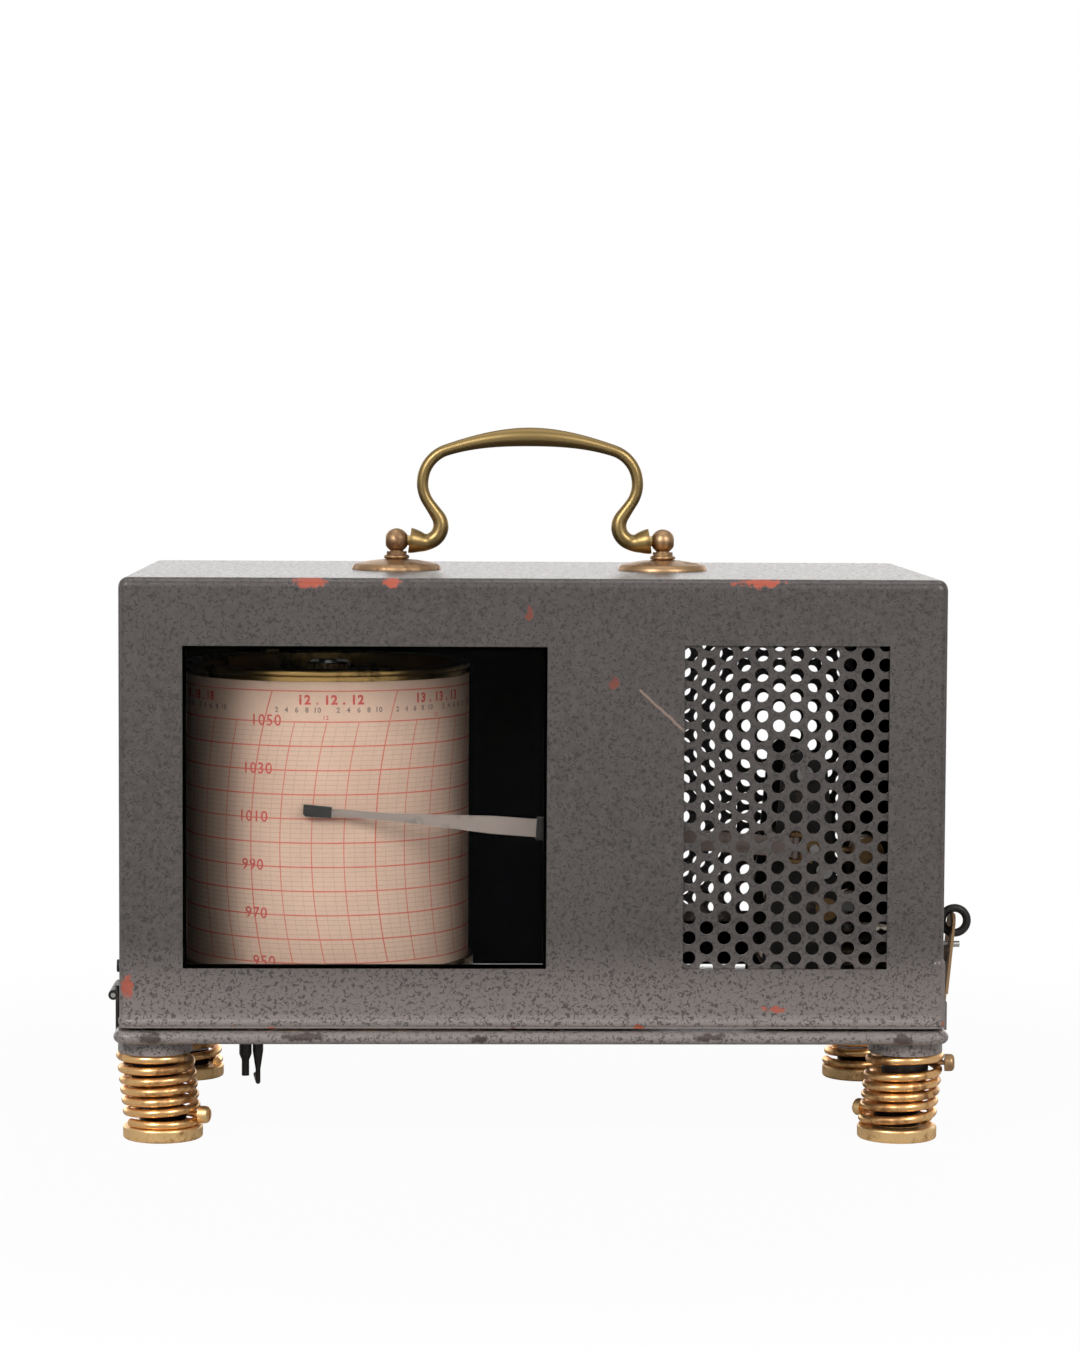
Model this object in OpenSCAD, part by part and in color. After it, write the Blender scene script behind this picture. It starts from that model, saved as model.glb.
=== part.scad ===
// Drum recorder in a hinged hood: a clock drum carries a week's chart past a
// long pen arm, which an aneroid capsule stack moves through a rocking lever.
// Units are millimetres. +Z is up, the pen side faces -Y, and the origin is on
// the floor under the middle of the whole instrument.

/* [Hood] */
// Width of the hood, wall to wall
hood_w = 258.6; // [240:0.2:312]
// Depth of the hood, wall to wall
hood_d = 137.2; // [128:0.2:166]
// Height of the hood, hem to top
hood_h = 141; // [134:0.5:170]
// Thickness of the hood's sheet
hood_wall = 1; // [0.8:0.1:1.4]
// Radius of the hood's outer edges
hood_round = 3; // [2:0.5:5]
// Height of the rolled hem
hem_h = 3.5; // [2.5:0.5:4]
// How far the hem stands proud of the wall
hem_proud = 0.5; // [0.2:0.1:0.6]
// Height of the raised strip at the right front corner
corner_strip_h = 20; // [10:1:40]
// Gap between the hem and the base plate
hem_gap = 1; // [0.3:0.1:1.5]

/* [Window] */
// Width of the window opening
window_w = 113.5; // [80:0.5:118]
// Height of the window opening
window_h = 101; // [80:0.5:108]
// Distance of the opening from the left wall
window_inset = 20; // [16:0.5:30]
// Height of the window sill above the hem's lower edge
window_sill = 18.8; // [14:0.2:22]
// Thickness of the pane
glass_t = 1.8; // [1.5:0.1:3]

/* [Grille] */
// Width of each grille opening
grille_w = 64.1; // [40:0.1:70]
// Height of each grille opening
grille_h = 101.6; // [70:0.2:108]
// Distance of the openings from the right wall
grille_inset = 18.2; // [14:0.2:24]
// Diameter of the punched holes
hole_d = 4.3; // [3:0.1:4.8]
// Distance between neighbouring holes in a column
hole_pitch = 6.36; // [5.8:0.02:8]
// Distance between neighbouring columns of holes
column_pitch = 5.54; // [5:0.02:8]
// Thickness of the perforated sheet
grille_t = 0.8; // [0.6:0.1:1.2]

/* [Base] */
// Thickness of the base plate
base_t = 4; // [3.5:0.5:6]
// How far the base stands out past the hood
base_overhang = 1.9; // [1.5:0.1:4]
// Height of the base plate's underside above the floor
base_lift = 32; // [29:0.5:40]

/* [Feet] */
// Distance of each boss centre from the hood's side wall
foot_inset_x = 10.3; // [10:0.1:16]
// Distance of each boss centre from the hood's front or rear wall
foot_inset_y = 14.2; // [12:0.1:20]
// How far each spring leans inward on its way down
foot_lean = 2.4; // [0:0.1:3]
// Outer diameter of the springs
spring_od = 24.8; // [22:0.1:25.5]
// Diameter of the spring wire
wire_d = 2.8; // [2.2:0.1:3]
// Whole turns between a spring's two screws
spring_turns = 5; // [4:1:6]
// Diameter of the foot discs
disc_d = 25.2; // [25:0.1:28]
// Thickness of the foot discs
disc_t = 4.2; // [3:0.1:5]
// Diameter of the bosses under the base
boss_d = 23.5; // [21:0.1:25]
// Thickness of the bosses
boss_t = 4.4; // [2.5:0.1:5]
// Diameter of the foot screws' heads
foot_screw_d = 5.5; // [4:0.1:6]

/* [Handle] */
// Distance between the two ball posts
post_span = 87.6; // [84:0.1:100]
// Height of the ball centres above the hood
ball_lift = 9.5; // [8:0.1:12]
// Diameter of the balls
ball_d = 7.9; // [7:0.1:9]
// Diameter of the domed rosettes
rosette_d = 29.4; // [24:0.2:32]
// Height of the domed rosettes
rosette_h = 3.5; // [2.5:0.1:4]
// Radius of the rosettes' round rim
rosette_rim_r = 2; // [0.8:0.1:2.2]
// Diameter of the grip at its middle
grip_d = 6.2; // [5:0.1:8]
// Diameter of the bail at its shoulders
shoulder_d = 3.8; // [3:0.1:4.5]
// Diameter of the bail's lower bends
bend_d = 5.2; // [4:0.1:5.6]
// Diameter of the flared ends of the bail
flare_d = 8.4; // [7:0.1:8.6]
// Height of the bail's middle line above the ball centres
bail_rise = 34.1; // [32:0.1:45]
// Radius of the long curve of the grip
grip_arc_r = 88; // [70:1:140]
// Radius of the shoulder bends
shoulder_arc_r = 11.4; // [10:0.1:14]
// Radius of the lower bends
lower_arc_r = 5.5; // [5:0.1:7]

/* [Drum and clock] */
// Distance of the drum's axis from the left wall
drum_inset = 63; // [58:0.5:70]
// Diameter over the chart
chart_d = 93; // [80:0.5:112]
// Height of the chart
chart_h = 93; // [80:0.5:112]
// Gap under the drum for the gears
drum_lift = 11.5; // [10:0.5:16]
// Teeth of the fixed gear on the spindle
gear_teeth = 40; // [32:4:48]
// Teeth of the clock's pinion
pinion_teeth = 10; // [8:1:12]
// Module of both gears
gear_module = 0.8; // [0.6:0.05:0.9]
// Diameter of the spindle
spindle_d = 6; // [5:0.5:8]
// Diameter of the clock's case
clock_d = 58; // [44:1:64]
// Height of the clock's case
clock_h = 38; // [30:1:50]

/* [Pen and lever] */
// Distance of the pen arbor's axis from the right wall
arbor_inset = 39.5; // [34:0.5:50]
// Height of the arbor's axis above the base plate
arbor_rise = 55.5; // [50:0.1:60]
// How far the pen points up at rest, in degrees
pen_rest = 4.2; // [0:0.1:8]
// How far left of the drum's axis the pen stands at rest
nib_lead = 6.2; // [0:0.1:10]
// Radius of the crank that the link moves
crank_r = 10; // [9:0.1:12]
// Long arm of the rocking lever, from its shaft to the link
lever_long = 15.2; // [14:0.1:17]
// Short arm of the rocking lever, from its shaft to the capsules
lever_short = 10; // [9:0.1:12]
// Height of the lever's shaft above the base plate
lever_rise = 35; // [32:0.1:38]
// Diameter of the arbor and the lever's shaft
shaft_d = 3; // [2.5:0.1:4]
// Running clearance on radius of every small pivot
run_fit = 0.05; // [0.03:0.01:0.1]

/* [Capsules] */
// Diameter of the aneroid capsules
capsule_d = 36; // [28:1:38]
// Pitch of the capsules
capsule_pitch = 3.9; // [3:0.1:4.2]
// Number of capsules in the stack
capsule_count = 5; // [3:1:5]

/* [Hinges and latch] */
// Radius of the hinge knuckles
knuckle_r = 1.6; // [1.5:0.05:2]
// Length of each hinge along the side
hinge_len = 22; // [18:1:30]
// Height of the hinge axis above the hem
hinge_rise = 8.4; // [7:0.1:12]
// Distance of each hinge's middle from the front or rear wall
hinge_inset = 24; // [20:1:34]
// Width of the latch strap
strap_w = 14; // [10:1:18]
// Distance of the strap's front edge from the hood's front wall
strap_inset = 19; // [12:1:60]
// Length of the latch strap from its pin to its tip
strap_len = 28.6; // [27:0.1:34]
// How far the strap leans outward when latched, in degrees
strap_lean = 5.4; // [4:0.1:8]
// Outer diameter of the pull ring
ring_d = 10.6; // [9:0.1:13]

/* [Hidden] */
$fn = 64;
eps = 0.01;
gap = 0.3;

// Main levels and faces
base_top = base_lift + base_t;
hood_bottom = base_top + hem_gap;
hood_top = hood_bottom + hood_h;
right_x = hood_w / 2;
left_x = -right_x;
front_y = -hood_d / 2;
rear_y = -front_y;
base_corner = 5;
rebate_z = base_lift + 1.5;

// Window and grille openings
window_x = left_x + window_inset + window_w / 2;
window_z = hood_bottom + window_sill + window_h / 2;
window_lap = 2.5;
frame_bar = 5;
grille_x = right_x - grille_inset - grille_w / 2;
grille_z = hood_bottom + window_sill + grille_h / 2;
grille_lap = 3.5;
hole_land = 0.5;
column_edge = 1.95;
row_edge = 3.4;
rear_shift = [1.17, 1.4];

// Feet
foot_x = right_x - foot_inset_x;
foot_y = rear_y - foot_inset_y;
disc_x = foot_x - foot_lean;
spring_r = (spring_od - wire_d) / 2;
plug_r = 7.4;
boss_plug_h = 8.6;
disc_plug_h = 5.3;
boss_z = base_lift - boss_t;
foot_shank_r = 0.8;
foot_head_t = 3.1;
rings_per_turn = 8;
wire_sides = 6;
wire_flat = wire_d / 2 * cos(180 / wire_sides);
spring_z0 = disc_t + wire_d / 2;
spring_z1 = boss_z - wire_flat - 0.05;
// Each screw lies between an end turn and the turn next to it
wire_over_screw = wire_d + 2 * foot_shank_r + 0.15;
wire_over_end = wire_d + 0.6;
wire_under_end = wire_d + 0.45;
bottom_screw_z = spring_z0 + wire_over_screw / 2;
top_screw_z = spring_z1 - wire_over_screw / 2;
// For each foot: the angles of its bottom and top screw in degrees, the turns that
// lie flat on the disc, and under the boss past and before the top screw
foot_fl = [-19, 110, 0.32, 0.59, 0];
foot_fr = [140, 355, 0.3, 0.1, 0.236];
foot_rl = [100, 240, 0.3, 0.1, 0];
foot_rr = [-60, 60, 0.3, 0.1, 0];

// Handle
ball_z = hood_top + ball_lift;
post_x = post_span / 2;
pin_r = 1.65;
post_stem_r = 2.2;

// Drum
drum_x = left_x + drum_inset;
drum_z = base_top + drum_lift;
flange_t = 3.6;
flange_proud = 1.6;
chart_t = 0.3;
chart_r = chart_d / 2;
shell_r = chart_r - chart_t;
shell_t = 1;
chart_z = drum_z + flange_t;
chart_top = chart_z + chart_h;
rim_h = 4;
clip_w = 5;
clip_angle = 118;
lid_z = chart_top - 3;
lid_t = 1.5;
spindle_r = spindle_d / 2;
gear_t = 3;
gear_z = drum_z - 1.5 - gear_t;
gear_distance = gear_module * (gear_teeth + pinion_teeth) / 2 + 0.1;
pinion_arbor_r = 1.2;
key_offset = 16;
key_r = 1.5;

// Pen, lever and capsules, in the vertical plane across the instrument
arbor_x = right_x - arbor_inset;
arbor_z = base_top + arbor_rise;
upright_x = arbor_x - 2.2;
upright_r = 7.4;
upright_foot_w = 29.6;
upright_rise = 78.5;
upright_t = 2;
upright_front_y = -39.6;
upright_rear_y = 14;
works_y = -8;
works_t = 2;
link_x = arbor_x - crank_r;
lever_x = link_x + lever_long;
lever_z = base_top + lever_rise;
capsule_x = lever_x + lever_short;
capsule_z = base_top + 5.5;
capsule_top = capsule_z + capsule_count * capsule_pitch;
shaft_r = shaft_d / 2;
hub_r = shaft_r + 1.7;
small_pin_r = 0.8;
open_pivot_r = 1.35;
link_t = 1.5;
link_y = works_y + works_t / 2 + 0.4;

// Pen arm, with places along it measured from the arbor
pen_y = -chart_r - 2.6;
nib_x = drum_x - nib_lead;
pen_len = (arbor_x - nib_x) / cos(pen_rest);
gate_at = 5.8;
clip_at = 85.3;
clip_len = 3.4;
carrier_h = 6.7;
carrier_t = 1.2;
strip_t = 0.4;
strip_root_h = 5.7;
strip_tip_h = 2.3;
shoulder_at = 102.5;
waist_at = 135;
nib_len = 9;
nib_gap = 0.6;
gate_pin_r = 0.7;
weight_at = 17;
weight_r = 5.2;

// Pen lifter: a turning rod under the base with an arm that ends in an upright bar
lifter_x = left_x + 42;
lifter_y = -40;
lifter_r = 1.7;
stop_offset = 4;
stop_r = 2;
bar_x = window_x + window_w / 2 + 8;
bar_r = 1.2;
bar_y = pen_y + carrier_t / 2 + 0.4 + bar_r + 0.3;
bar_top = arbor_z + 24;

// Hinges and latch
hinge_x = left_x - knuckle_r - 1.2;
hinge_z = hood_bottom + hinge_rise;
leaf_t = 0.9;
hinge_pin_r = 0.75;
knuckle_gap = 0.4;
screw_z = hinge_z + 8.6;
hinge_y = rear_y - hinge_inset;
latch_r = 1.35;
latch_pin_r = 0.6;
latch_ear = 2.6;
latch_x = right_x + hem_proud + 0.35 + latch_r;
latch_z = base_top + 6;
strap_t = 0.9;
strap_y = front_y + strap_inset;
stud_at = 18.3;
stud_r = 1;
stud_z = latch_z + stud_at * cos(strap_lean);
ring_r = (ring_d - 2.6) / 2;
ring_wire_r = 1.3;
ring_at = 26.1;
ring_out = 1.9;

// The whole instrument is centred between the hinge knuckles and the pull ring
reach_left = hinge_x - knuckle_r;
reach_right = latch_x + ring_at * sin(strap_lean) + ring_out * cos(strap_lean) + ring_d / 2;
shift_x = -(reach_left + reach_right) / 2;

grey = [0.42, 0.4, 0.38];
brass = [0.78, 0.6, 0.3];
old_brass = [0.6, 0.44, 0.28];
steel = [0.62, 0.62, 0.62];
dark = [0.12, 0.12, 0.13];
paper = [0.9, 0.8, 0.72];
alloy = [0.75, 0.75, 0.74];

// Flat rectangle with round corners
module round_rect(w, d, r) {
    square([w - 2 * r, d], center = true);
    square([w, d - 2 * r], center = true);
    for (x = [-1, 1], y = [-1, 1])
        translate([x * (w / 2 - r), y * (d / 2 - r)])
            circle(r);
}

// Block whose upright and top edges are round, standing on z = 0
module round_block(w, d, h, r) {
    linear_extrude(h - r)
        round_rect(w, d, r);
    linear_extrude(h)
        square([w - 2 * r, d - 2 * r], center = true);
    for (y = [-1, 1])
        translate([0, y * (d / 2 - r), h - r])
            rotate([0, 90, 0])
                cylinder(r = r, h = w - 2 * r, center = true);
    for (x = [-1, 1])
        translate([x * (w / 2 - r), 0, h - r])
            rotate([90, 0, 0])
                cylinder(r = r, h = d - 2 * r, center = true);
    for (x = [-1, 1], y = [-1, 1])
        translate([x * (w / 2 - r), y * (d / 2 - r), h - r])
            sphere(r);
}

// Plate with a full round edge, standing on z = 0
module round_edge_plate(w, d, t, corner) {
    r = t / 2;
    linear_extrude(t)
        round_rect(w - t, d - t, corner - r);
    for (y = [-1, 1])
        translate([0, y * (d / 2 - r), r])
            rotate([0, 90, 0])
                cylinder(r = r, h = w - 2 * corner, center = true);
    for (x = [-1, 1])
        translate([x * (w / 2 - r), 0, r])
            rotate([90, 0, 0])
                cylinder(r = r, h = d - 2 * corner, center = true);
    for (k = [0:3])
        translate([(k == 0 || k == 3 ? 1 : -1) * (w / 2 - corner), (k < 2 ? 1 : -1) * (d / 2 - corner), r])
            rotate([0, 0, 90 * k])
                rotate_extrude(angle = 90)
                    translate([corner - r, 0])
                        circle(r);
}

// Cylinder along Y from y0 to y1
module y_rod(r, y0, y1) {
    translate([0, y1, 0])
        rotate([90, 0, 0])
            cylinder(r = r, h = y1 - y0);
}

// Cylinder along X from x0 to x1
module x_rod(r, x0, x1) {
    translate([x0, 0, 0])
        rotate([0, 90, 0])
            cylinder(r = r, h = x1 - x0);
}

// A flat profile drawn in X and Z, made thick from y0 to y1
module upright_plate(y0, y1) {
    translate([0, y1, 0])
        rotate([90, 0, 0])
            linear_extrude(y1 - y0)
                children();
}

// Base

module base_plate() {
    color(grey) difference() {
        translate([0, 0, base_lift])
            round_edge_plate(hood_w + 2 * base_overhang, hood_d + 2 * base_overhang, base_t, base_corner);
        // rebates for the hinge leaves and the latch bracket
        for (y = [-1, 1])
            translate([hinge_x + knuckle_r - leaf_t - 10, y * hinge_y - hinge_len / 2, rebate_z])
                cube([10 + leaf_t, hinge_len, base_t]);
        translate([latch_x - latch_r, strap_y, rebate_z])
            cube([10, strap_w, base_t]);
        translate([drum_x, 0, base_lift - 1])
            cylinder(r = spindle_r, h = base_t + 2);
        translate([lifter_x, lifter_y, base_lift - 1])
            cylinder(r = lifter_r + run_fit, h = base_t + 2);
        translate([capsule_x, works_y, base_lift - 1])
            cylinder(r = 3, h = base_t + 2);
        translate([lifter_x - stop_offset, lifter_y, base_lift - 1])
            cylinder(r = stop_r, h = base_t + 2);
        for (p = upright_screw_places())
            translate([p[0], p[1], base_lift + 1])
                cylinder(r = 1.5, h = base_t);
    }
}

function upright_screw_places() = [for (x = [-1, 1], y = [upright_front_y + upright_t + 5, upright_rear_y + upright_t + 5])
    [upright_x + x * 9, y]];

// Boss disc with its core plug, drilled for the screw between the top turns
module foot_boss(x, y, foot) {
    translate([x * foot_x, y * foot_y, 0]) difference() {
        union() {
            translate([0, 0, boss_z])
                cylinder(d = boss_d, h = boss_t);
            translate([0, 0, boss_z - boss_plug_h])
                cylinder(r = plug_r, h = boss_plug_h + 1);
        }
        translate([0, 0, top_screw_z])
            rotate([0, 0, foot[1]])
                x_rod(foot_shank_r, plug_r - 3, plug_r + 1);
    }
}

module foot_bosses() {
    color(grey) {
        foot_boss(-1, -1, foot_fl);
        foot_boss(1, -1, foot_fr);
        foot_boss(-1, 1, foot_rl);
        foot_boss(1, 1, foot_rr);
    }
}

// A screw driven inward along X, with its round-edged head from r_head outwards
module foot_screw(r_head) {
    edge = 1.3;
    x_rod(foot_shank_r, plug_r - 3, r_head + 0.5);
    difference() {
        translate([r_head, 0, 0])
            rotate([0, 90, 0])
                rotate_extrude() {
                    square([foot_screw_d / 2, foot_head_t - edge]);
                    square([foot_screw_d / 2 - edge, foot_head_t]);
                    translate([foot_screw_d / 2 - edge, foot_head_t - edge])
                        circle(edge);
                }
        translate([r_head + foot_head_t - 0.9, -0.4, -foot_screw_d])
            cube([2, 0.8, 2 * foot_screw_d]);
    }
}

module foot_top_screw(x, y, foot) {
    translate([x * foot_x, y * foot_y, top_screw_z])
        rotate([0, 0, foot[1]])
            foot_screw(spring_od / 2 + 0.15);
}

module foot_top_screws() {
    color(old_brass) {
        foot_top_screw(-1, -1, foot_fl);
        foot_top_screw(1, -1, foot_fr);
        foot_top_screw(-1, 1, foot_rl);
        foot_top_screw(1, 1, foot_rr);
    }
}

// Middle line of a spring, by turns from the wire's start. It lies flat on the disc
// up to the bottom screw, clears its own end and that screw, climbs evenly, clears
// the top screw and its own other end, and lies flat under the boss. It leans
// towards side.
function screw_turns(foot) = spring_turns + ((foot[1] - foot[0] + 720) % 360) / 360;
function wire_z(t, foot) =
    let (a = foot[2], b = a + screw_turns(foot), tail = foot[3], settle = foot[4])
    let (even_pitch = (spring_z1 - spring_z0 - 2 * wire_over_screw) / (b - a - 2))
    lookup(t, [[0, spring_z0], [a, spring_z0],
        [1, spring_z0 + wire_over_end], [a + 1, spring_z0 + wire_over_screw],
        [b - 2 + tail, spring_z1 - max(wire_over_screw + even_pitch * (1 - tail), 2 * wire_under_end)],
        [b - 1, spring_z1 - wire_over_screw], [b - 1 + tail, spring_z1 - wire_under_end],
        [b - settle, spring_z1], [b + tail, spring_z1]]);
function wire_point(t, foot, side) =
    let (z = wire_z(t, foot), angle = foot[0] + (t - foot[2]) * 360)
    [spring_r * cos(angle) + side * (disc_x + foot_lean * (z - spring_z0) / (spring_z1 - spring_z0)),
    spring_r * sin(angle), z];
function spring_line(foot, side) =
    let (start = foot[0] - foot[2] * 360, turns = foot[2] + screw_turns(foot) + foot[3], steps = ceil(turns * rings_per_turn))
    concat([wire_point(0, foot, side) - wire_d * [-sin(start), cos(start), 0]],
        [for (k = [0:steps]) wire_point(k / steps * turns, foot, side)]);

function unit(v) = v / norm(v);
// Direction of a line of points at its point k
function run_at(p, k) = unit(p[min(k + 1, len(p) - 1)] - p[max(k - 1, 0)]);

// Round tube along the points p, with radius r[k] at point k, in flat facets
module swept_tube(p, r, sides, side_dir) {
    rings = [for (k = [0:len(p) - 1])
        let (t = run_at(p, k), u = unit(cross(t, side_dir[k])), v = cross(u, t))
        for (s = [0:sides - 1])
            p[k] + r[k] * (cos(s * 360 / sides) * u + sin(s * 360 / sides) * v)];
    last = (len(p) - 1) * sides;
    polyhedron(rings, concat(
        [[for (s = [0:sides - 1]) sides - 1 - s]],
        [for (k = [0:len(p) - 2], s = [0:sides - 1])
            let (a = k * sides + s, b = k * sides + (s + 1) % sides)
            each [[a, b, b + sides], [a, b + sides, a + sides]]],
        [[for (s = [0:sides - 1]) last + s]]));
}

module foot_spring(foot, side, y) {
    line = spring_line(foot, side);
    color(brass)
        translate([0, y * foot_y, 0])
            swept_tube(line, [for (q = line) wire_d / 2], wire_sides, [for (q = line) [0, 0, 1]]);
}

// Least distance between wire surfaces one turn apart, measured on the line's points
function least_gap(line) = min([for (i = [0:len(line) - 1], j = [i + rings_per_turn - 2:1:len(line) - 1])
    norm(line[i] - line[j]) - wire_d]);
echo(str("Least gap between a spring's turns: ", min([for (foot = [foot_fl, foot_fr, foot_rl, foot_rr])
    least_gap(spring_line(foot, 1))]), " mm"));

module foot_spring_fl() { foot_spring(foot_fl, -1, -1); }
module foot_spring_fr() { foot_spring(foot_fr, 1, -1); }
module foot_spring_rl() { foot_spring(foot_rl, -1, 1); }
module foot_spring_rr() { foot_spring(foot_rr, 1, 1); }

// Foot disc with its plug and the screw that holds the wire's lower end
module foot_disc(x, y, foot) {
    edge = 0.8;
    color(brass) translate([x * disc_x, y * foot_y, 0]) {
        difference() {
            rotate_extrude() {
                translate([0, edge])
                    square([disc_d / 2, disc_t - 2 * edge]);
                square([disc_d / 2 - edge, disc_t]);
                for (z = [edge, disc_t - edge])
                    translate([disc_d / 2 - edge, z])
                        circle(edge);
                square([plug_r, disc_t + disc_plug_h]);
            }
            translate([0, 0, bottom_screw_z])
                rotate([0, 0, foot[0]])
                    x_rod(foot_shank_r, plug_r - 3, plug_r + 1);
        }
        translate([0, 0, bottom_screw_z])
            rotate([0, 0, foot[0]])
                foot_screw(disc_d / 2 + 0.15);
    }
}

module foot_disc_fl() { foot_disc(-1, -1, foot_fl); }
module foot_disc_fr() { foot_disc(1, -1, foot_fr); }
module foot_disc_rl() { foot_disc(-1, 1, foot_rl); }
module foot_disc_rr() { foot_disc(1, 1, foot_rr); }

// Hinges

knuckle_len = (hinge_len - 2 * knuckle_gap) / 3;

module at_hinges() {
    for (y = [-1, 1])
        translate([hinge_x, y * hinge_y, hinge_z])
            children();
}

module hinge_base_leaves() {
    color(dark) at_hinges() difference() {
        union() {
            for (y = [-1, 1])
                y_rod(knuckle_r, y * (knuckle_len + knuckle_gap) - knuckle_len / 2, y * (knuckle_len + knuckle_gap) + knuckle_len / 2);
            translate([knuckle_r - leaf_t, -hinge_len / 2, rebate_z - hinge_z])
                cube([leaf_t, hinge_len, hinge_z - rebate_z]);
        }
        y_rod(hinge_pin_r + run_fit, -hinge_len, hinge_len);
        translate([-5, -knuckle_len / 2 - knuckle_gap, -knuckle_r - gap])
            cube([10, knuckle_len + 2 * knuckle_gap, 10]);
    }
}

module hinge_pins() {
    color(steel) {
        at_hinges()
            y_rod(hinge_pin_r, -hinge_len / 2 - 0.5, hinge_len / 2 + 0.5);
        translate([latch_x, 0, latch_z])
            y_rod(latch_pin_r, strap_y - 0.3, strap_y + strap_w + 0.3);
    }
}

module hinge_hood_leaves() {
    leaf_top = screw_z - hinge_z + 5;
    color(dark) at_hinges() difference() {
        union() {
            y_rod(knuckle_r, -knuckle_len / 2, knuckle_len / 2);
            translate([0, -knuckle_len / 2, 0.9])
                cube([left_x - hinge_x, knuckle_len, leaf_t]);
            translate([left_x - hinge_x - leaf_t, -hinge_len / 2, 0.9])
                cube([leaf_t, hinge_len, leaf_top - 0.9]);
        }
        y_rod(hinge_pin_r + run_fit, -hinge_len, hinge_len);
        for (y = [-1, 1])
            translate([0, y * 6, screw_z - hinge_z])
                x_rod(1, -5, 5);
    }
}

module hinge_screws() {
    color(dark) at_hinges() for (y = [-1, 1])
        translate([0, y * 6, screw_z - hinge_z]) {
            x_rod(1, left_x - hinge_x - leaf_t - 0.5, left_x - hinge_x + hood_wall);
            x_rod(2, left_x - hinge_x - leaf_t - 1.1, left_x - hinge_x - leaf_t);
            x_rod(1.7, left_x - hinge_x + hood_wall, left_x - hinge_x + hood_wall + 0.8);
        }
}

// Latch

module latch_bracket() {
    color(grey) translate([latch_x, strap_y, latch_z]) difference() {
        union() {
            for (y = [0, strap_w - latch_ear]) {
                y_rod(latch_r, y, y + latch_ear);
                translate([-latch_r, y, base_top - latch_z])
                    cube([2 * latch_r, latch_ear, latch_z - base_top]);
            }
            translate([-latch_r, 0, rebate_z - latch_z])
                cube([2 * latch_r, strap_w, base_top + 0.6 - rebate_z]);
        }
        y_rod(latch_pin_r + run_fit, -1, strap_w + 1);
    }
}

// Places the children in the latched strap's own frame, with z along the strap
module in_strap() {
    translate([latch_x, strap_y + strap_w / 2, latch_z])
        rotate([0, strap_lean, 0])
            children();
}

module latch_strap() {
    inner_w = strap_w - 2 * latch_ear - 2 * knuckle_gap;
    slot_w = 2 * stud_r + 0.9;
    color(brass) in_strap() difference() {
        union() {
            y_rod(latch_r, -inner_w / 2, inner_w / 2);
            translate([latch_r - strap_t, -inner_w / 2, 0])
                cube([strap_t, inner_w, 4]);
            translate([latch_r - strap_t, -strap_w / 2, 3.2])
                cube([strap_t, strap_w, strap_len - 3.2 - strap_w / 4]);
            translate([latch_r - strap_t, -strap_w / 4, 3.2])
                cube([strap_t, strap_w / 2, strap_len - 3.2]);
            for (y = [-1, 1])
                translate([0, y * strap_w / 4, strap_len - strap_w / 4])
                    x_rod(strap_w / 4, latch_r - strap_t, latch_r);
        }
        y_rod(latch_pin_r + run_fit, -strap_w, strap_w);
        // slot that clears the stud while the strap swings
        translate([-5, -slot_w / 2, stud_at - 1.3])
            cube([10, slot_w, 3.4]);
        // hole for the pull ring
        translate([0, 0, ring_at - sqrt(pow(ring_r, 2) - pow(ring_out - latch_r + strap_t / 2, 2))])
            x_rod(ring_wire_r + 0.2, -5, 5);
    }
}

module latch_ring() {
    color(dark) in_strap()
        translate([ring_out, 0, ring_at])
            rotate([90, 0, 0])
                rotate_extrude()
                    translate([ring_r, 0])
                        circle(ring_wire_r);
}

module latch_stud() {
    color(steel) translate([0, strap_y + strap_w / 2, stud_z]) {
        x_rod(stud_r, right_x - hood_wall - 1.2, right_x + 8.2);
        x_rod(2.4, right_x - hood_wall - 1.2, right_x - hood_wall);
        x_rod(2.2, right_x, right_x + 1);
    }
}

// Hood

// Ring of half-round hem along the lower edge, kept to the outside of the sheet
module hem() {
    r = hem_h / 2;
    w = hood_w + 2 * hem_proud;
    d = hood_d + 2 * hem_proud;
    translate([0, 0, hood_bottom])
        round_edge_plate(w, d, hem_h, hood_round + hem_proud + r / 2);
}

module corner_strip() {
    r = 2.6;
    x = right_x + hem_proud - r;
    y = front_y - hem_proud + r;
    translate([x, y, hood_bottom + 1])
        cylinder(r = r, h = corner_strip_h - 1);
    translate([x, y, hood_bottom + corner_strip_h])
        sphere(r);
}

module grille_cut(y) {
    translate([grille_x - grille_w / 2, y - 5, grille_z - grille_h / 2])
        cube([grille_w, 10, grille_h]);
}

module hood_shell() {
    color(grey) difference() {
        union() {
            translate([0, 0, hood_bottom])
                round_block(hood_w, hood_d, hood_h, hood_round);
            hem();
            corner_strip();
        }
        translate([0, 0, hood_bottom - 1])
            round_block(hood_w - 2 * hood_wall, hood_d - 2 * hood_wall, hood_h + 1 - hood_wall, hood_round - hood_wall);
        translate([window_x - window_w / 2, front_y - 5, window_z - window_h / 2])
            cube([window_w, 10, window_h]);
        grille_cut(front_y);
        grille_cut(rear_y);
        at_hinges() for (y = [-1, 1])
            translate([0, y * 6, screw_z - hinge_z])
                x_rod(1, 0, 10);
        translate([0, strap_y + strap_w / 2, stud_z])
            x_rod(stud_r, right_x - 5, right_x + 5);
        for (x = [-1, 1])
            translate([x * post_x, 0, hood_top - 5])
                cylinder(r = post_stem_r, h = 10);
    }
}

module window_glass() {
    color([0.8, 0.85, 0.88, 0.35])
        translate([window_x - window_w / 2 - window_lap, front_y + hood_wall, window_z - window_h / 2 - window_lap])
            cube([window_w + 2 * window_lap, glass_t, window_h + 2 * window_lap]);
}

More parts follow.
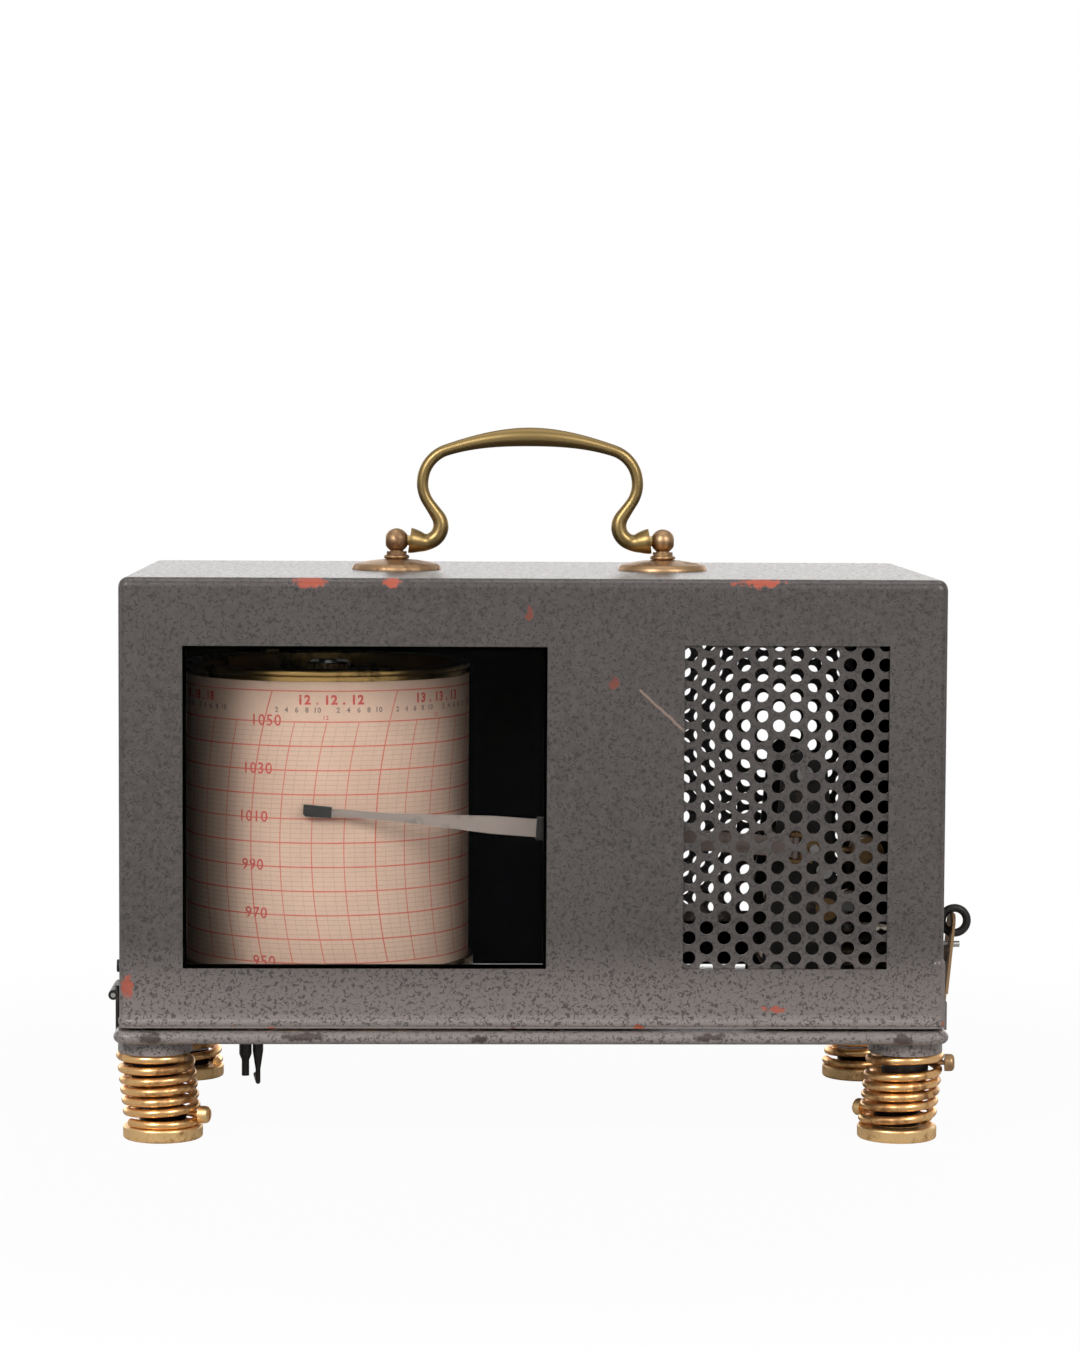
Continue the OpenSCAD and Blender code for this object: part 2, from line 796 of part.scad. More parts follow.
// Channel frame that holds the pane against the inside of the front wall
module window_frame() {
    w = window_w + 2 * window_lap + 3;
    h = window_h + 2 * window_lap + 3;
    color(dark) translate([window_x, front_y + hood_wall, window_z]) difference() {
        translate([-w / 2, 0, -h / 2])
            cube([w, glass_t + 1.2, h]);
        translate([-window_w / 2 - window_lap, -1, -window_h / 2 - window_lap])
            cube([window_w + 2 * window_lap, glass_t + 1, window_h + 2 * window_lap]);
        translate([-w / 2 + frame_bar, -5, -h / 2 + frame_bar])
            cube([w - 2 * frame_bar, 15, h - 2 * frame_bar]);
    }
}

// Staggered columns of holes over a sheet that laps behind its opening; a hole is
// left out where it would come too near the sheet's own edge
module perforated_sheet(pattern_shift) {
    reach = grille_lap - hole_d / 2 - hole_land;
    first_x = column_edge + pattern_shift[0];
    linear_extrude(grille_t)
        difference() {
            translate([-grille_lap, -grille_lap])
                square([grille_w + 2 * grille_lap, grille_h + 2 * grille_lap]);
            for (c = [0:floor((grille_w + reach - first_x) / column_pitch)]) {
                first_z = row_edge + pattern_shift[1] - (c % 2) * hole_pitch / 2;
                for (r = [0:floor((grille_h + reach - first_z) / hole_pitch)])
                    translate([first_x + c * column_pitch, first_z + r * hole_pitch])
                        circle(d = hole_d, $fn = 24);
            }
        }
}

module front_grille() {
    color(grey)
        translate([grille_x - grille_w / 2, front_y + hood_wall + grille_t, grille_z - grille_h / 2])
            rotate([90, 0, 0])
                perforated_sheet([0, 0]);
}

module rear_grille() {
    color(grey)
        translate([grille_x - grille_w / 2, rear_y - hood_wall, grille_z - grille_h / 2])
            rotate([90, 0, 0])
                perforated_sheet(rear_shift);
}

// Handle

module at_posts() {
    for (x = [-1, 1])
        translate([x * post_x, 0, hood_top])
            children();
}

module handle_rosettes() {
    // the dome is the cap of a sphere that runs smoothly into the round rim
    rim_x = rosette_d / 2 - rosette_rim_r;
    rise = rosette_h - rosette_rim_r;
    drop = (pow(rim_x, 2) - pow(rise, 2)) / (2 * rise);
    dome_r = drop + rosette_h;
    color(old_brass) at_posts() difference() {
        union() {
            intersection() {
                translate([0, 0, -drop])
                    sphere(dome_r, $fn = 96);
                cylinder(r = rim_x * dome_r / (dome_r - rosette_rim_r), h = rosette_h + 1);
            }
            rotate_extrude()
                translate([rim_x, 0])
                    circle(rosette_rim_r);
        }
        translate([0, 0, -rosette_h])
            cylinder(d = rosette_d + 2, h = rosette_h);
        translate([0, 0, -1])
            cylinder(r = post_stem_r, h = rosette_h + 2);
    }
}

module handle_posts() {
    flange_h = 1.2;
    color(old_brass) at_posts() difference() {
        union() {
            translate([0, 0, -hood_wall - 5])
                cylinder(r = post_stem_r, h = ball_lift + hood_wall + 3);
            translate([0, 0, rosette_h])
                rotate_extrude() {
                    square([3.3, 2.4]);
                    square([4.2 - flange_h / 2, flange_h]);
                    translate([4.2 - flange_h / 2, flange_h / 2])
                        circle(flange_h / 2);
                }
            translate([0, 0, ball_lift])
                sphere(d = ball_d);
        }
        translate([0, 0, ball_lift])
            x_rod(pin_r + run_fit, -ball_d, ball_d);
    }
}

module post_nuts() {
    color(steel) at_posts()
        translate([0, 0, -hood_wall - 3])
            difference() {
                cylinder(r = 4.6, h = 3, $fn = 6);
                translate([0, 0, -1])
                    cylinder(r = post_stem_r, h = 5);
            }
}

// Middle line of half the bail, from the middle of the grip outwards: two bends
// down, a straight leg inwards, and the lower bend that turns out to the post. The
// leg and the last straight piece are as long as it takes to end level with the ball.
grip_turn = 18.2;
shoulder_turn = 106.6;
lower_turn = 132.8;
bail_gap = 0.35;
function down_arc(p, heading, r, turn) =
    [p[0] + r * (sin(heading) - sin(heading - turn)), p[1] + r * (cos(heading - turn) - cos(heading))];
function up_arc(p, heading, r, turn) =
    [p[0] + r * (sin(heading + turn) - sin(heading)), p[1] + r * (cos(heading) - cos(heading + turn))];
function cross_area(a, b) = a[0] * b[1] - a[1] * b[0];
grip_end = down_arc([0, 0], 0, grip_arc_r, grip_turn);
shoulder_end = down_arc(grip_end, -grip_turn, shoulder_arc_r, shoulder_turn);
leg_heading = -grip_turn - shoulder_turn;
end_heading = leg_heading + lower_turn;
leg_way = [cos(leg_heading), sin(leg_heading)];
end_way = [cos(end_heading), sin(end_heading)];
bail_end = [post_x - ball_d / 2 - bail_gap, -bail_rise];
straight_sum = bail_end - shoulder_end - up_arc([0, 0], leg_heading, lower_arc_r, lower_turn);
leg_len = cross_area(straight_sum, end_way) / cross_area(leg_way, end_way);
end_len = cross_area(leg_way, straight_sum) / cross_area(leg_way, end_way);
leg_end = shoulder_end + leg_len * leg_way;
half_line = concat(
    [for (k = [0:11]) down_arc([0, 0], 0, grip_arc_r, grip_turn * k / 12)],
    [for (k = [0:11]) down_arc(grip_end, -grip_turn, shoulder_arc_r, shoulder_turn * k / 12)],
    [for (k = [0:2]) shoulder_end + leg_len * k / 3 * leg_way],
    [for (k = [0:9]) up_arc(leg_end, leg_heading, lower_arc_r, lower_turn * k / 10)],
    [for (k = [0:4]) bail_end - end_len * (1 - k / 4) * end_way]);
half_count = len(half_line);
// Radius of the bail at point k: the grip thins to the shoulder, the lower bend is
// fuller, and the end flares
function bail_radius(k) =
    let (grip = min(k / 14, 1), bend = max(min((k - 22) / 9, 1), 0), flare = max((k - 33) / (half_count - 34), 0))
    grip_d / 2 * (1 + cos(180 * grip)) / 2 + shoulder_d / 2 * (1 - cos(180 * grip)) / 2
    + (bend_d - shoulder_d) / 2 * (1 - cos(180 * bend)) / 2
    + (flare_d - bend_d) / 2 * pow(min(flare, 1), 1.6);
bail_line = concat(
    [for (k = [half_count - 1:-1:1]) [-half_line[k][0], 0, half_line[k][1]]],
    [for (k = [0:half_count - 1]) [half_line[k][0], 0, half_line[k][1]]]);
bail_radii = concat([for (k = [half_count - 1:-1:1]) bail_radius(k)], [for (k = [0:half_count - 1]) bail_radius(k)]);

module handle_bail() {
    color(brass) translate([0, 0, ball_z + bail_rise])
        swept_tube(bail_line, bail_radii, 12, [for (q = bail_line) [0, 1, 0]]);
}

module bail_pins() {
    color(brass) for (x = [-1, 1])
        translate([x * (post_x - ball_d / 2), 0, ball_z])
            x_rod(pin_r, -2.8, 2.8);
}

// Drum and clock

// Gear outline with involute flanks; slack thins each tooth
function involute(a) = tan(a) * 180 / PI - a;
function flank_half(n, r) =
    let (pitch_r = gear_module * n / 2, base_r = pitch_r * cos(20), slack = 0.08)
    90 / n - slack / pitch_r * 90 / PI + involute(20) - involute(acos(min(base_r / max(r, base_r), 1)));
function on_circle(r, a) = [r * cos(a), r * sin(a)];
module gear_outline(n) {
    pitch_r = gear_module * n / 2;
    root_r = pitch_r - 1.1 * gear_module;
    tip_r = pitch_r + 0.75 * gear_module;
    base_r = max(pitch_r * cos(20), root_r + 0.05);
    flank = [for (f = [0:3]) base_r + (tip_r - base_r) * f / 3];
    polygon([for (k = [0:n - 1])
        let (a = 360 * k / n)
        each concat(
            [on_circle(root_r, a - flank_half(n, base_r))],
            [for (r = flank) on_circle(r, a - flank_half(n, r))],
            [for (f = [3:-1:0]) on_circle(flank[f], a + flank_half(n, flank[f]))],
            [on_circle(root_r, a + flank_half(n, base_r))])]);
}

module drum_spindle() {
    color(steel) translate([drum_x, 0, 0]) {
        translate([0, 0, base_lift])
            cylinder(r = spindle_r, h = lid_z + 7 - base_lift);
        translate([0, 0, base_top])
            cylinder(r = 9, h = 2.5);
        translate([0, 0, base_lift - 2.5])
            cylinder(r = 5.5, h = 2.5, $fn = 6);
    }
}

module fixed_gear() {
    color(brass) translate([drum_x, 0, 0]) difference() {
        union() {
            translate([0, 0, gear_z])
                linear_extrude(gear_t)
                    gear_outline(gear_teeth);
            translate([0, 0, base_top + 2.5])
                cylinder(r = 7, h = gear_z - base_top - 2.5);
        }
        translate([0, 0, base_top])
            cylinder(r = spindle_r, h = 20);
    }
}

module drum_nut() {
    nut_r = 7;
    color(brass) translate([drum_x, 0, lid_z + lid_t + gap]) difference() {
        union() {
            linear_extrude(4.2)
                difference() {
                    circle(nut_r);
                    for (a = [0:15:345])
                        rotate([0, 0, a])
                            translate([nut_r, 0])
                                circle(0.45, $fn = 16);
                }
        }
        translate([0, 0, -1])
            cylinder(r = spindle_r, h = 10);
    }
}

module drum_shell() {
    hub_h = 8;
    color(brass) translate([drum_x, 0, 0]) difference() {
        rotate_extrude() {
            translate([0, drum_z])
                square([chart_r + flange_proud, flange_t - 0.1]);
            translate([shell_r - shell_t, drum_z])
                square([shell_t, chart_top - drum_z]);
            translate([0, lid_z])
                square([shell_r, lid_t]);
            translate([0, drum_z])
                square([spindle_r + 3, flange_t + hub_h]);
        }
        translate([0, 0, drum_z - 1])
            cylinder(r = spindle_r + run_fit, h = chart_h + 20);
        translate([gear_distance, 0, drum_z - 1])
            cylinder(r = pinion_arbor_r + run_fit, h = flange_t + 2);
        translate([0, key_offset, lid_z - 1])
            cylinder(r = key_r + 1, h = lid_t + 2);
    }
}

// Brass ring on the drum: a round bead over a groove that shows as a dark line
module drum_rim() {
    bead_r = 1.35;
    bead_x = chart_r + 0.3 - bead_r;
    color(brass) translate([drum_x, 0, chart_top]) difference() {
        rotate_extrude() {
            translate([chart_r - 2.6, 0])
                square([bead_x + 0.3 - chart_r + 2.6, rim_h - bead_r / 2]);
            translate([bead_x, rim_h - bead_r])
                circle(bead_r);
        }
        // notch for the chart clip
        rotate([0, 0, clip_angle])
            translate([chart_r, -clip_w / 2 - 0.1, -1])
                cube([5, clip_w + 0.2, rim_h + 2]);
    }
}

module chart_paper() {
    color(paper) translate([drum_x, 0, chart_z]) difference() {
        cylinder(r = chart_r, h = chart_h - 0.1, $fn = 128);
        translate([0, 0, -1])
            cylinder(r = shell_r, h = chart_h + 2, $fn = 128);
    }
}

// Spring clip that holds the chart's ends, hooked on the flange and the rim
module chart_clip() {
    clip_t = 0.25;
    color(brass) translate([drum_x, 0, 0]) rotate([0, 0, clip_angle])
        translate([chart_r + 0.02, -clip_w / 2, chart_z]) {
            cube([clip_t, clip_w, chart_h + rim_h + 1]);
            translate([-4, 0, chart_h + rim_h + 0.1])
                cube([4 + clip_t, clip_w, 0.9]);
        }
}

module clock_case() {
    edge = 2;
    color(brass) translate([drum_x, 0, drum_z + flange_t]) difference() {
        rotate_extrude() {
            square([clock_d / 2, clock_h - edge]);
            square([clock_d / 2 - edge, clock_h]);
            translate([clock_d / 2 - edge, clock_h - edge])
                circle(edge);
        }
        translate([0, 0, -1])
            cylinder(r = spindle_r + 3, h = clock_h + 2);
        translate([gear_distance, 0, -1])
            cylinder(r = pinion_arbor_r + run_fit, h = 7);
        translate([0, key_offset, clock_h - 6])
            cylinder(r = key_r + run_fit, h = 10);
    }
}

module clock_pinion() {
    color(steel) translate([drum_x + gear_distance, 0, 0]) {
        translate([0, 0, gear_z + 0.2])
            rotate([0, 0, 180 + 180 / pinion_teeth])
                linear_extrude(gear_t - 0.4)
                    gear_outline(pinion_teeth);
        translate([0, 0, gear_z + 0.2])
            cylinder(r = pinion_arbor_r, h = drum_z + flange_t + 5 - gear_z);
    }
}

module winding_key() {
    low = drum_z + flange_t + clock_h - 5.5;
    wing_z = lid_z + lid_t + 1;
    color(steel) translate([drum_x, key_offset, 0]) {
        translate([0, 0, low])
            cylinder(r = key_r, h = wing_z + 1 - low);
        translate([-5, -0.8, wing_z])
            cube([10, 1.6, 3.6]);
        for (x = [-1, 1])
            translate([x * 5, 0.8, wing_z + 1.8])
                rotate([90, 0, 0])
                    cylinder(r = 1.8, h = 1.6);
    }
}

// Frame of the works

module upright_profile() {
    translate([upright_x, base_top + upright_rise])
        circle(upright_r);
    polygon([
        [upright_x - upright_foot_w / 2, base_top],
        [upright_x + upright_foot_w / 2, base_top],
        [upright_x + upright_r, base_top + upright_rise],
        [upright_x - upright_r, base_top + upright_rise]]);
}

// An upright plate from y, with its foot bent towards +Y
module upright(y) {
    color(grey) difference() {
        union() {
            upright_plate(y, y + upright_t)
                upright_profile();
            translate([upright_x - upright_foot_w / 2, y, base_top])
                cube([upright_foot_w, upright_t + 9, upright_t]);
        }
        for (b = [[arbor_x, arbor_z], [lever_x, lever_z]])
            translate([b[0], 0, b[1]])
                y_rod(hub_r - 0.6, y - 1, y + upright_t + 1);
        for (p = pillar_places())
            translate([p[0], 0, p[1]])
                y_rod(1.5, y - 1, y + upright_t + 1);
        for (p = upright_screw_places())
            translate([p[0], p[1], base_top - 1])
                cylinder(r = 1.5, h = upright_t + 2);
    }
}

function pillar_places() = [[upright_x, base_top + upright_rise], [upright_x - 9, base_top + 14.5], [upright_x + 6.5, base_top + 47.5]];

module front_upright() { upright(upright_front_y); }
module rear_upright() { upright(upright_rear_y); }

module frame_pillars() {
    color(old_brass) for (p = pillar_places())
        translate([p[0], 0, p[1]])
            y_rod(2.6, upright_front_y + upright_t, upright_rear_y);
}

// Screws into the pillars' ends and through the bent feet
module frame_screws() {
    color(steel) {
        for (p = pillar_places())
            translate([p[0], 0, p[1]]) {
                y_rod(1.5, upright_front_y - 0.5, upright_front_y + upright_t);
                y_rod(2.6, upright_front_y - 1.6, upright_front_y);
                y_rod(1.5, upright_rear_y, upright_rear_y + upright_t + 0.5);
                y_rod(2.6, upright_rear_y + upright_t, upright_rear_y + upright_t + 1.6);
            }
        for (p = upright_screw_places())
            translate([p[0], p[1], 0]) {
                translate([0, 0, base_lift + 1])
                    cylinder(r = 1.5, h = base_t + upright_t);
                translate([0, 0, base_top + upright_t])
                    cylinder(r = 2.6, h = 1.6);
            }
    }
}

module bearing_bush(x, z, y) {
    translate([x, 0, z]) difference() {
        union() {
            y_rod(hub_r - 0.6, y, y + upright_t);
            y_rod(hub_r + 0.4, y - 1, y);
        }
        y_rod(shaft_r + run_fit, y - 2, y + upright_t + 2);
    }
}

module bearing_bushes() {
    color(brass) for (y = [upright_front_y, upright_rear_y]) {
        bearing_bush(arbor_x, arbor_z, y);
        bearing_bush(lever_x, lever_z, y);
    }
}

// Works

module pen_arbor() {
    color(steel) translate([arbor_x, 0, arbor_z])
        y_rod(shaft_r, pen_y - 1.5, upright_rear_y + upright_t + 2);
}

// Flat lever in X and Z about its hub, reaching to the points given
module lever_profile(ends, tip_r) {
    circle(hub_r);
    for (e = ends) {
        translate(e)
            circle(tip_r);
        translate([min(e[0], 0), -1.4])
            square([abs(e[0]), 2.8]);
    }
}

module link_crank() {
    color(brass) translate([arbor_x, 0, arbor_z]) difference() {
        union() {
            upright_plate(works_y - works_t / 2, works_y + works_t / 2)
                lever_profile([[-crank_r, 0]], 1.8);
            translate([-crank_r, 0, 0])
                y_rod(small_pin_r, works_y, link_y + link_t + 0.5);
        }
        y_rod(shaft_r, works_y - 5, works_y + 5);
    }
}

module link_rod() {
    color(steel) translate([link_x, 0, lever_z]) difference() {
        upright_plate(link_y, link_y + link_t) {
            circle(2.2);
            translate([0, arbor_z - lever_z])
                circle(1.9);
            translate([-0.8, 0])
                square([1.6, arbor_z - lever_z]);
        }
        y_rod(open_pivot_r, link_y - 1, link_y + link_t + 1);
        translate([0, 0, arbor_z - lever_z])
            y_rod(small_pin_r + run_fit, link_y - 1, link_y + link_t + 1);
    }
}

module main_lever() {
    color(brass) translate([lever_x, 0, lever_z]) {
        difference() {
            upright_plate(works_y - works_t / 2, works_y + works_t / 2)
                lever_profile([[-lever_long, 0], [lever_short, 0]], 2.3);
            // slot over the capsule stud's pin
            translate([lever_short, 0, 0]) {
                y_rod(small_pin_r + 0.3, works_y - 5, works_y + 5);
                translate([-0.5, works_y - 5, -small_pin_r - 0.3])
                    cube([1, 10, 2 * small_pin_r + 0.6]);
            }
        }
        translate([-lever_long, 0, 0])
            y_rod(small_pin_r, works_y, link_y + link_t + 0.5);
        y_rod(shaft_r, upright_front_y - 2, upright_rear_y + upright_t + 2);
    }
}

// Capsules

module capsule_post() {
    color(steel) translate([capsule_x, works_y, 0]) {
        translate([0, 0, base_lift])
            cylinder(r = 3, h = capsule_z - base_lift);
        translate([0, 0, capsule_z - 1])
            cylinder(r = 7, h = 1);
    }
}

// Each capsule is two corrugated dishes, with a short neck to the next one
module capsule_stack() {
    r = capsule_d / 2;
    neck = 0.5;
    body_h = capsule_pitch - 2 * neck;
    ripple = [for (s = [0:16]) [7 + (r - 1.5 - 7) * s / 16, 0.35 * sin(s * 90) ]];
    color(brass) translate([capsule_x, works_y, capsule_z]) rotate_extrude() union()
        for (k = [0:capsule_count - 1])
            translate([0, k * capsule_pitch]) {
                square([7, capsule_pitch]);
                polygon(concat(
                    [[6, neck]],
                    [for (q = ripple) [q[0], neck + 0.35 + q[1]]],
                    [[r, neck + body_h / 2 - 0.3], [r, neck + body_h / 2 + 0.3]],
                    [for (s = [16:-1:0]) [ripple[s][0], neck + body_h - 0.35 - ripple[s][1]]],
                    [[6, neck + body_h]]));
            }
}

// Clevis on top of the stack, with a pin through the lever's slot
module capsule_stud() {
    cheek = 1.2;
    inside = works_t + 0.6;
    color(steel) translate([capsule_x, works_y, 0]) {
        translate([0, 0, capsule_top])
            cylinder(r = 5, h = 1.2);
        translate([0, 0, capsule_top + 1])
            cylinder(r = 1.6, h = lever_z - 4 - capsule_top);
        translate([-2, -inside / 2 - cheek, lever_z - 4.6])
            cube([4, inside + 2 * cheek, 1.6]);
        for (y = [-inside / 2 - cheek, inside / 2])
            translate([-2, y, lever_z - 4.6])
                cube([4, cheek, 6.4]);
        translate([0, 0, lever_z])
            y_rod(small_pin_r, -inside / 2 - cheek, inside / 2 + cheek);
    }
}

module setting_nut() {
    nut_r = 8;
    color(brass) translate([capsule_x, works_y, base_top + gap]) linear_extrude(3)
        difference() {
            circle(nut_r);
            circle(3 + run_fit);
            for (a = [0:12:348])
                rotate([0, 0, a])
                    translate([nut_r, 0])
                        circle(0.5, $fn = 16);
        }
}

// Pen arm

// Places the children in the pen's own frame: the nib is along -X, and y = 0 is the arm's plane
module in_pen() {
    translate([arbor_x, pen_y, arbor_z])
        rotate([0, pen_rest, 0])
            children();
}

module pen_yoke() {
    ear_z = carrier_h / 2 + gap;
    color(brass) in_pen() difference() {
        union() {
            y_rod(hub_r, 1.6, 6);
            translate([-gate_at - 2, 1.6, -ear_z - 1.2])
                cube([gate_at + 2, 1.2, 2 * ear_z + 2.4]);
            for (z = [-ear_z - 1.2, ear_z])
                translate([-gate_at - 2, -1.8, z])
                    cube([4, 3.6, 1.2]);
            translate([-gate_at, 0, -ear_z - 1.6])
                cylinder(r = gate_pin_r, h = 2 * ear_z + 3.2);
        }
        y_rod(shaft_r, -5, 10);
    }
}

module counterweight() {
    color(old_brass) in_pen() {
        translate([weight_at, 0, 0])
            y_rod(weight_r, -2.5, 8);
        translate([0, 4.2, 0])
            x_rod(1.1, hub_r, weight_at - weight_r + 0.4);
    }
}

module pen_carrier() {
    color(alloy) in_pen() difference() {
        union() {
            translate([-gate_at, 0, -carrier_h / 2])
                cylinder(r = 1.4, h = carrier_h);
            translate([-clip_at - clip_len / 2, -carrier_t / 2, -carrier_h / 2 + 0.2])
                cube([clip_at + clip_len / 2 - gate_at, carrier_t, carrier_h - 0.4]);
        }
        translate([-gate_at, 0, -carrier_h])
            cylinder(r = gate_pin_r + run_fit, h = 2 * carrier_h);
    }
}

module pen_clip() {
    outer_h = carrier_h + 0.6;
    color(dark) in_pen() translate([-clip_at - clip_len, 0, 0]) difference() {
        translate([0, -carrier_t / 2 - 0.5, -outer_h / 2])
            cube([clip_len, carrier_t + 1, outer_h]);
        translate([clip_len / 2, -carrier_t / 2, -carrier_h / 2 + 0.2])
            cube([clip_len, carrier_t, carrier_h - 0.4]);
        translate([-1, -strip_t / 2, -strip_root_h / 2])
            cube([clip_len / 2 + 1, strip_t, strip_root_h]);
    }
}

module pen_strip() {
    color(alloy) in_pen() upright_plate(-strip_t / 2, strip_t / 2)
        polygon([
            [-clip_at - clip_len / 2, -strip_root_h / 2],
            [-clip_at - clip_len / 2, strip_root_h / 2],
            [-shoulder_at, strip_root_h / 2],
            [-waist_at, strip_tip_h / 2],
            [-pen_len + nib_len / 2, strip_tip_h / 2],
            [-pen_len + nib_len / 2, -strip_tip_h / 2],
            [-waist_at, -strip_tip_h / 2],
            [-shoulder_at, -strip_root_h / 2]]);
}

// Trough nib folded round the strip's end, with its point turned to the chart
module pen_nib() {
    tip_y = -pen_y - chart_r - nib_gap;
    color(old_brass) in_pen() difference() {
        union() {
            upright_plate(-0.8, 0.8)
                polygon([
                    [-pen_len + nib_len, 1.7],
                    [-pen_len, 1.9],
                    [-pen_len, -1],
                    [-pen_len + 0.8, -1.8],
                    [-pen_len + nib_len, -1.7]]);
            translate([-pen_len + 1, 0, -0.6])
                rotate([-90, 0, 0])
                    cylinder(r1 = 0.8, r2 = 0.25, h = tip_y);
        }
        translate([-pen_len + nib_len / 2, -strip_t / 2, -strip_tip_h / 2])
            cube([nib_len, strip_t, strip_tip_h]);
    }
}

// Pen lifter

module pen_lifter() {
    arm_z = base_top + gap;
    arm_t = 2;
    reach = [bar_x - lifter_x, bar_y - lifter_y];
    arm_len = norm(reach);
    color(dark) translate([lifter_x, lifter_y, 0]) {
        translate([0, 0, base_lift - 7])
            cylinder(r = lifter_r, h = base_t + 7 + gap + arm_t);
        translate([0, 0, base_lift - 13])
            cylinder(r1 = 0.8, r2 = lifter_r, h = 6);
        translate([0, 0, base_lift - 17])
            cylinder(r = 0.8, h = 5);
        translate([0, 0, base_lift - 17])
            sphere(0.8);
        translate([0, 0, base_lift - 17])
            rotate([0, 0, 6])
                y_rod(0.8, 0, 13);
        translate([0, 0, arm_z])
            rotate([0, 0, atan2(reach[1], reach[0])])
                linear_extrude(arm_t) {
                    circle(4);
                    translate([0, -2])
                        square([arm_len, 4]);
                    translate([arm_len, 0])
                        circle(2);
                }
        translate([reach[0], reach[1], arm_z])
            cylinder(r = bar_r, h = bar_top - arm_z);
    }
}

module lifter_stop() {
    color(grey) translate([lifter_x - stop_offset, lifter_y, 0]) {
        translate([0, 0, base_lift - 8])
            cylinder(r = stop_r, h = 8 + base_t);
        translate([0, 0, base_lift - 10])
            cylinder(r1 = 1.2, r2 = stop_r, h = 2);
        translate([0, 0, base_lift - 15])
            cylinder(r = 1.2, h = 5.5);
    }
}

translate([shift_x, 0, 0]) {
    base_plate();
    foot_bosses();
    foot_top_screws();
    foot_spring_fl();
    foot_spring_fr();
    foot_spring_rl();
    foot_spring_rr();
    foot_disc_fl();
    foot_disc_fr();
    foot_disc_rl();
    foot_disc_rr();
    hinge_base_leaves();
    hinge_pins();
    latch_bracket();
    front_upright();
    rear_upright();
    frame_pillars();
    frame_screws();
    bearing_bushes();
    drum_spindle();
    fixed_gear();
    drum_nut();
    capsule_post();
    capsule_stack();
    lifter_stop();
    hood_shell();
    window_glass();
    window_frame();
    front_grille();
    rear_grille();
    handle_rosettes();
    handle_posts();
    post_nuts();
    hinge_hood_leaves();
    hinge_screws();
    latch_stud();
    handle_bail();
    bail_pins();
    latch_strap();
    latch_ring();
    drum_shell();
    drum_rim();
    chart_paper();
    chart_clip();
    clock_case();
    clock_pinion();
    winding_key();
    pen_arbor();
    link_crank();
    pen_yoke();
    counterweight();
    pen_carrier();
    pen_clip();
    pen_strip();
    pen_nib();
    link_rod();
    main_lever();
    capsule_stud();
    setting_nut();
    pen_lifter();
}
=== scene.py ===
"""Looks of a drum recorder: hammered paint, brass, printed chart, glass, and the stage."""

import math

import bpy
import numpy as np
from mathutils import Matrix


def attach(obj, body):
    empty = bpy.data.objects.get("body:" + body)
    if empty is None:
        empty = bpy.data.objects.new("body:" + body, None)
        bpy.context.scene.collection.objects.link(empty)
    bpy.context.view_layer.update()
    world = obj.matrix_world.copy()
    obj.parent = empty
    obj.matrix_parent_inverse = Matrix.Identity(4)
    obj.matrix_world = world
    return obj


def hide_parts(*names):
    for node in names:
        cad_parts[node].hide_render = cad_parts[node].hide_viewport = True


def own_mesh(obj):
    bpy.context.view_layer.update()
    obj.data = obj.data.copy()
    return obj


bl_info = {
    "name": "Drum recorder looks",
    "version": (1, 0, 0),
    "blender": (4, 5, 0),
    "location": "3D View > Sidebar > Recorder",
    "description": "Builds the finishes, soft round pieces and stage of a drum recorder",
    "category": "Object",
}

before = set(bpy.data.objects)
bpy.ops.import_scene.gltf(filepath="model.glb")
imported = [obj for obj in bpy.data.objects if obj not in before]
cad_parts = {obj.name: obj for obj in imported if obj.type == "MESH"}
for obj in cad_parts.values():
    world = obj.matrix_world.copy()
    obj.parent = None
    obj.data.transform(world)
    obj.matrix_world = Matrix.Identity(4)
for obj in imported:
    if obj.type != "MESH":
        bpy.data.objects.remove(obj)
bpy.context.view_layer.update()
MM = 0.001

# Places in the row frame, in millimetres, as in the part's source
SHIFT_X = -3.724
DRUM_X = -66.3 + SHIFT_X
CHART_R = 46.5
CHART_LOW = 51.1
CHART_HIGH = 144.0
HOOD_HALF_W = 129.3
HOOD_HALF_D = 68.6
HOOD_LOW = 37.0
HOOD_TOP = 178.0
BALL_Z = 187.5
BAIL_RISE = 34.1
BALL_R = 3.95
POST_X = 43.8
BOSS_Z = 27.6
DISC_T = 4.2
WIRE_D = 2.8
SPRING_R = 11.0
# The share of its radius by which the spring wire's middle lies under the boss
WIRE_SEAT = 0.866
# A foot's middle at its disc, and how much further out it is under its boss
FOOT_X = 116.6
FOOT_Y = 54.4
FOOT_LEAN = 2.4

# The chart's print: where one day line crosses the pen's level, the degrees from one
# header to the next, and how many day lines go round the drum
DAY_START = -30.0
DAY_DEGREES = 49.0
DAYS_ROUND = 7.08
DAYS = 7
# The pen's arc, and the level that it swings about
ARC_R = 163.0
ARC_Z = 91.5
# Height of the lowest scale line, and of one unit of the scale
MARK_LOW = 54.0
MARK_UNIT = 0.7728

# The photograph's view: focal length and width in pixels, and the eye in millimetres
FOCAL_PX = 3667.3
PHOTO_W = 1080.0
EYE = (-27.2 + SHIFT_X, -1206.7, 228.35)
LAMP_AIM = (0.0, 0.0, 0.1)

# Colours that more than one finish uses
PAINT_GREY = (0.084, 0.0725, 0.068)
WORM_DARK = (0.022, 0.020, 0.019)
PRIMER_RED = (0.42, 0.115, 0.055)
BARE_METAL = (0.05, 0.035, 0.03)
# near black that paints the shade within the springs onto their plugs
CORE_SHADE_BLACK = (0.012, 0.010, 0.009)
# near black inside the hood: dark paint, made darker still as painted shade
INSIDE_SHADE_BLACK = (0.006, 0.006, 0.0095)


# Node helpers

def put(tree, socket, value):
    """Links or sets one input."""
    if isinstance(value, bpy.types.NodeSocket):
        tree.links.new(value, socket)
    else:
        socket.default_value = value


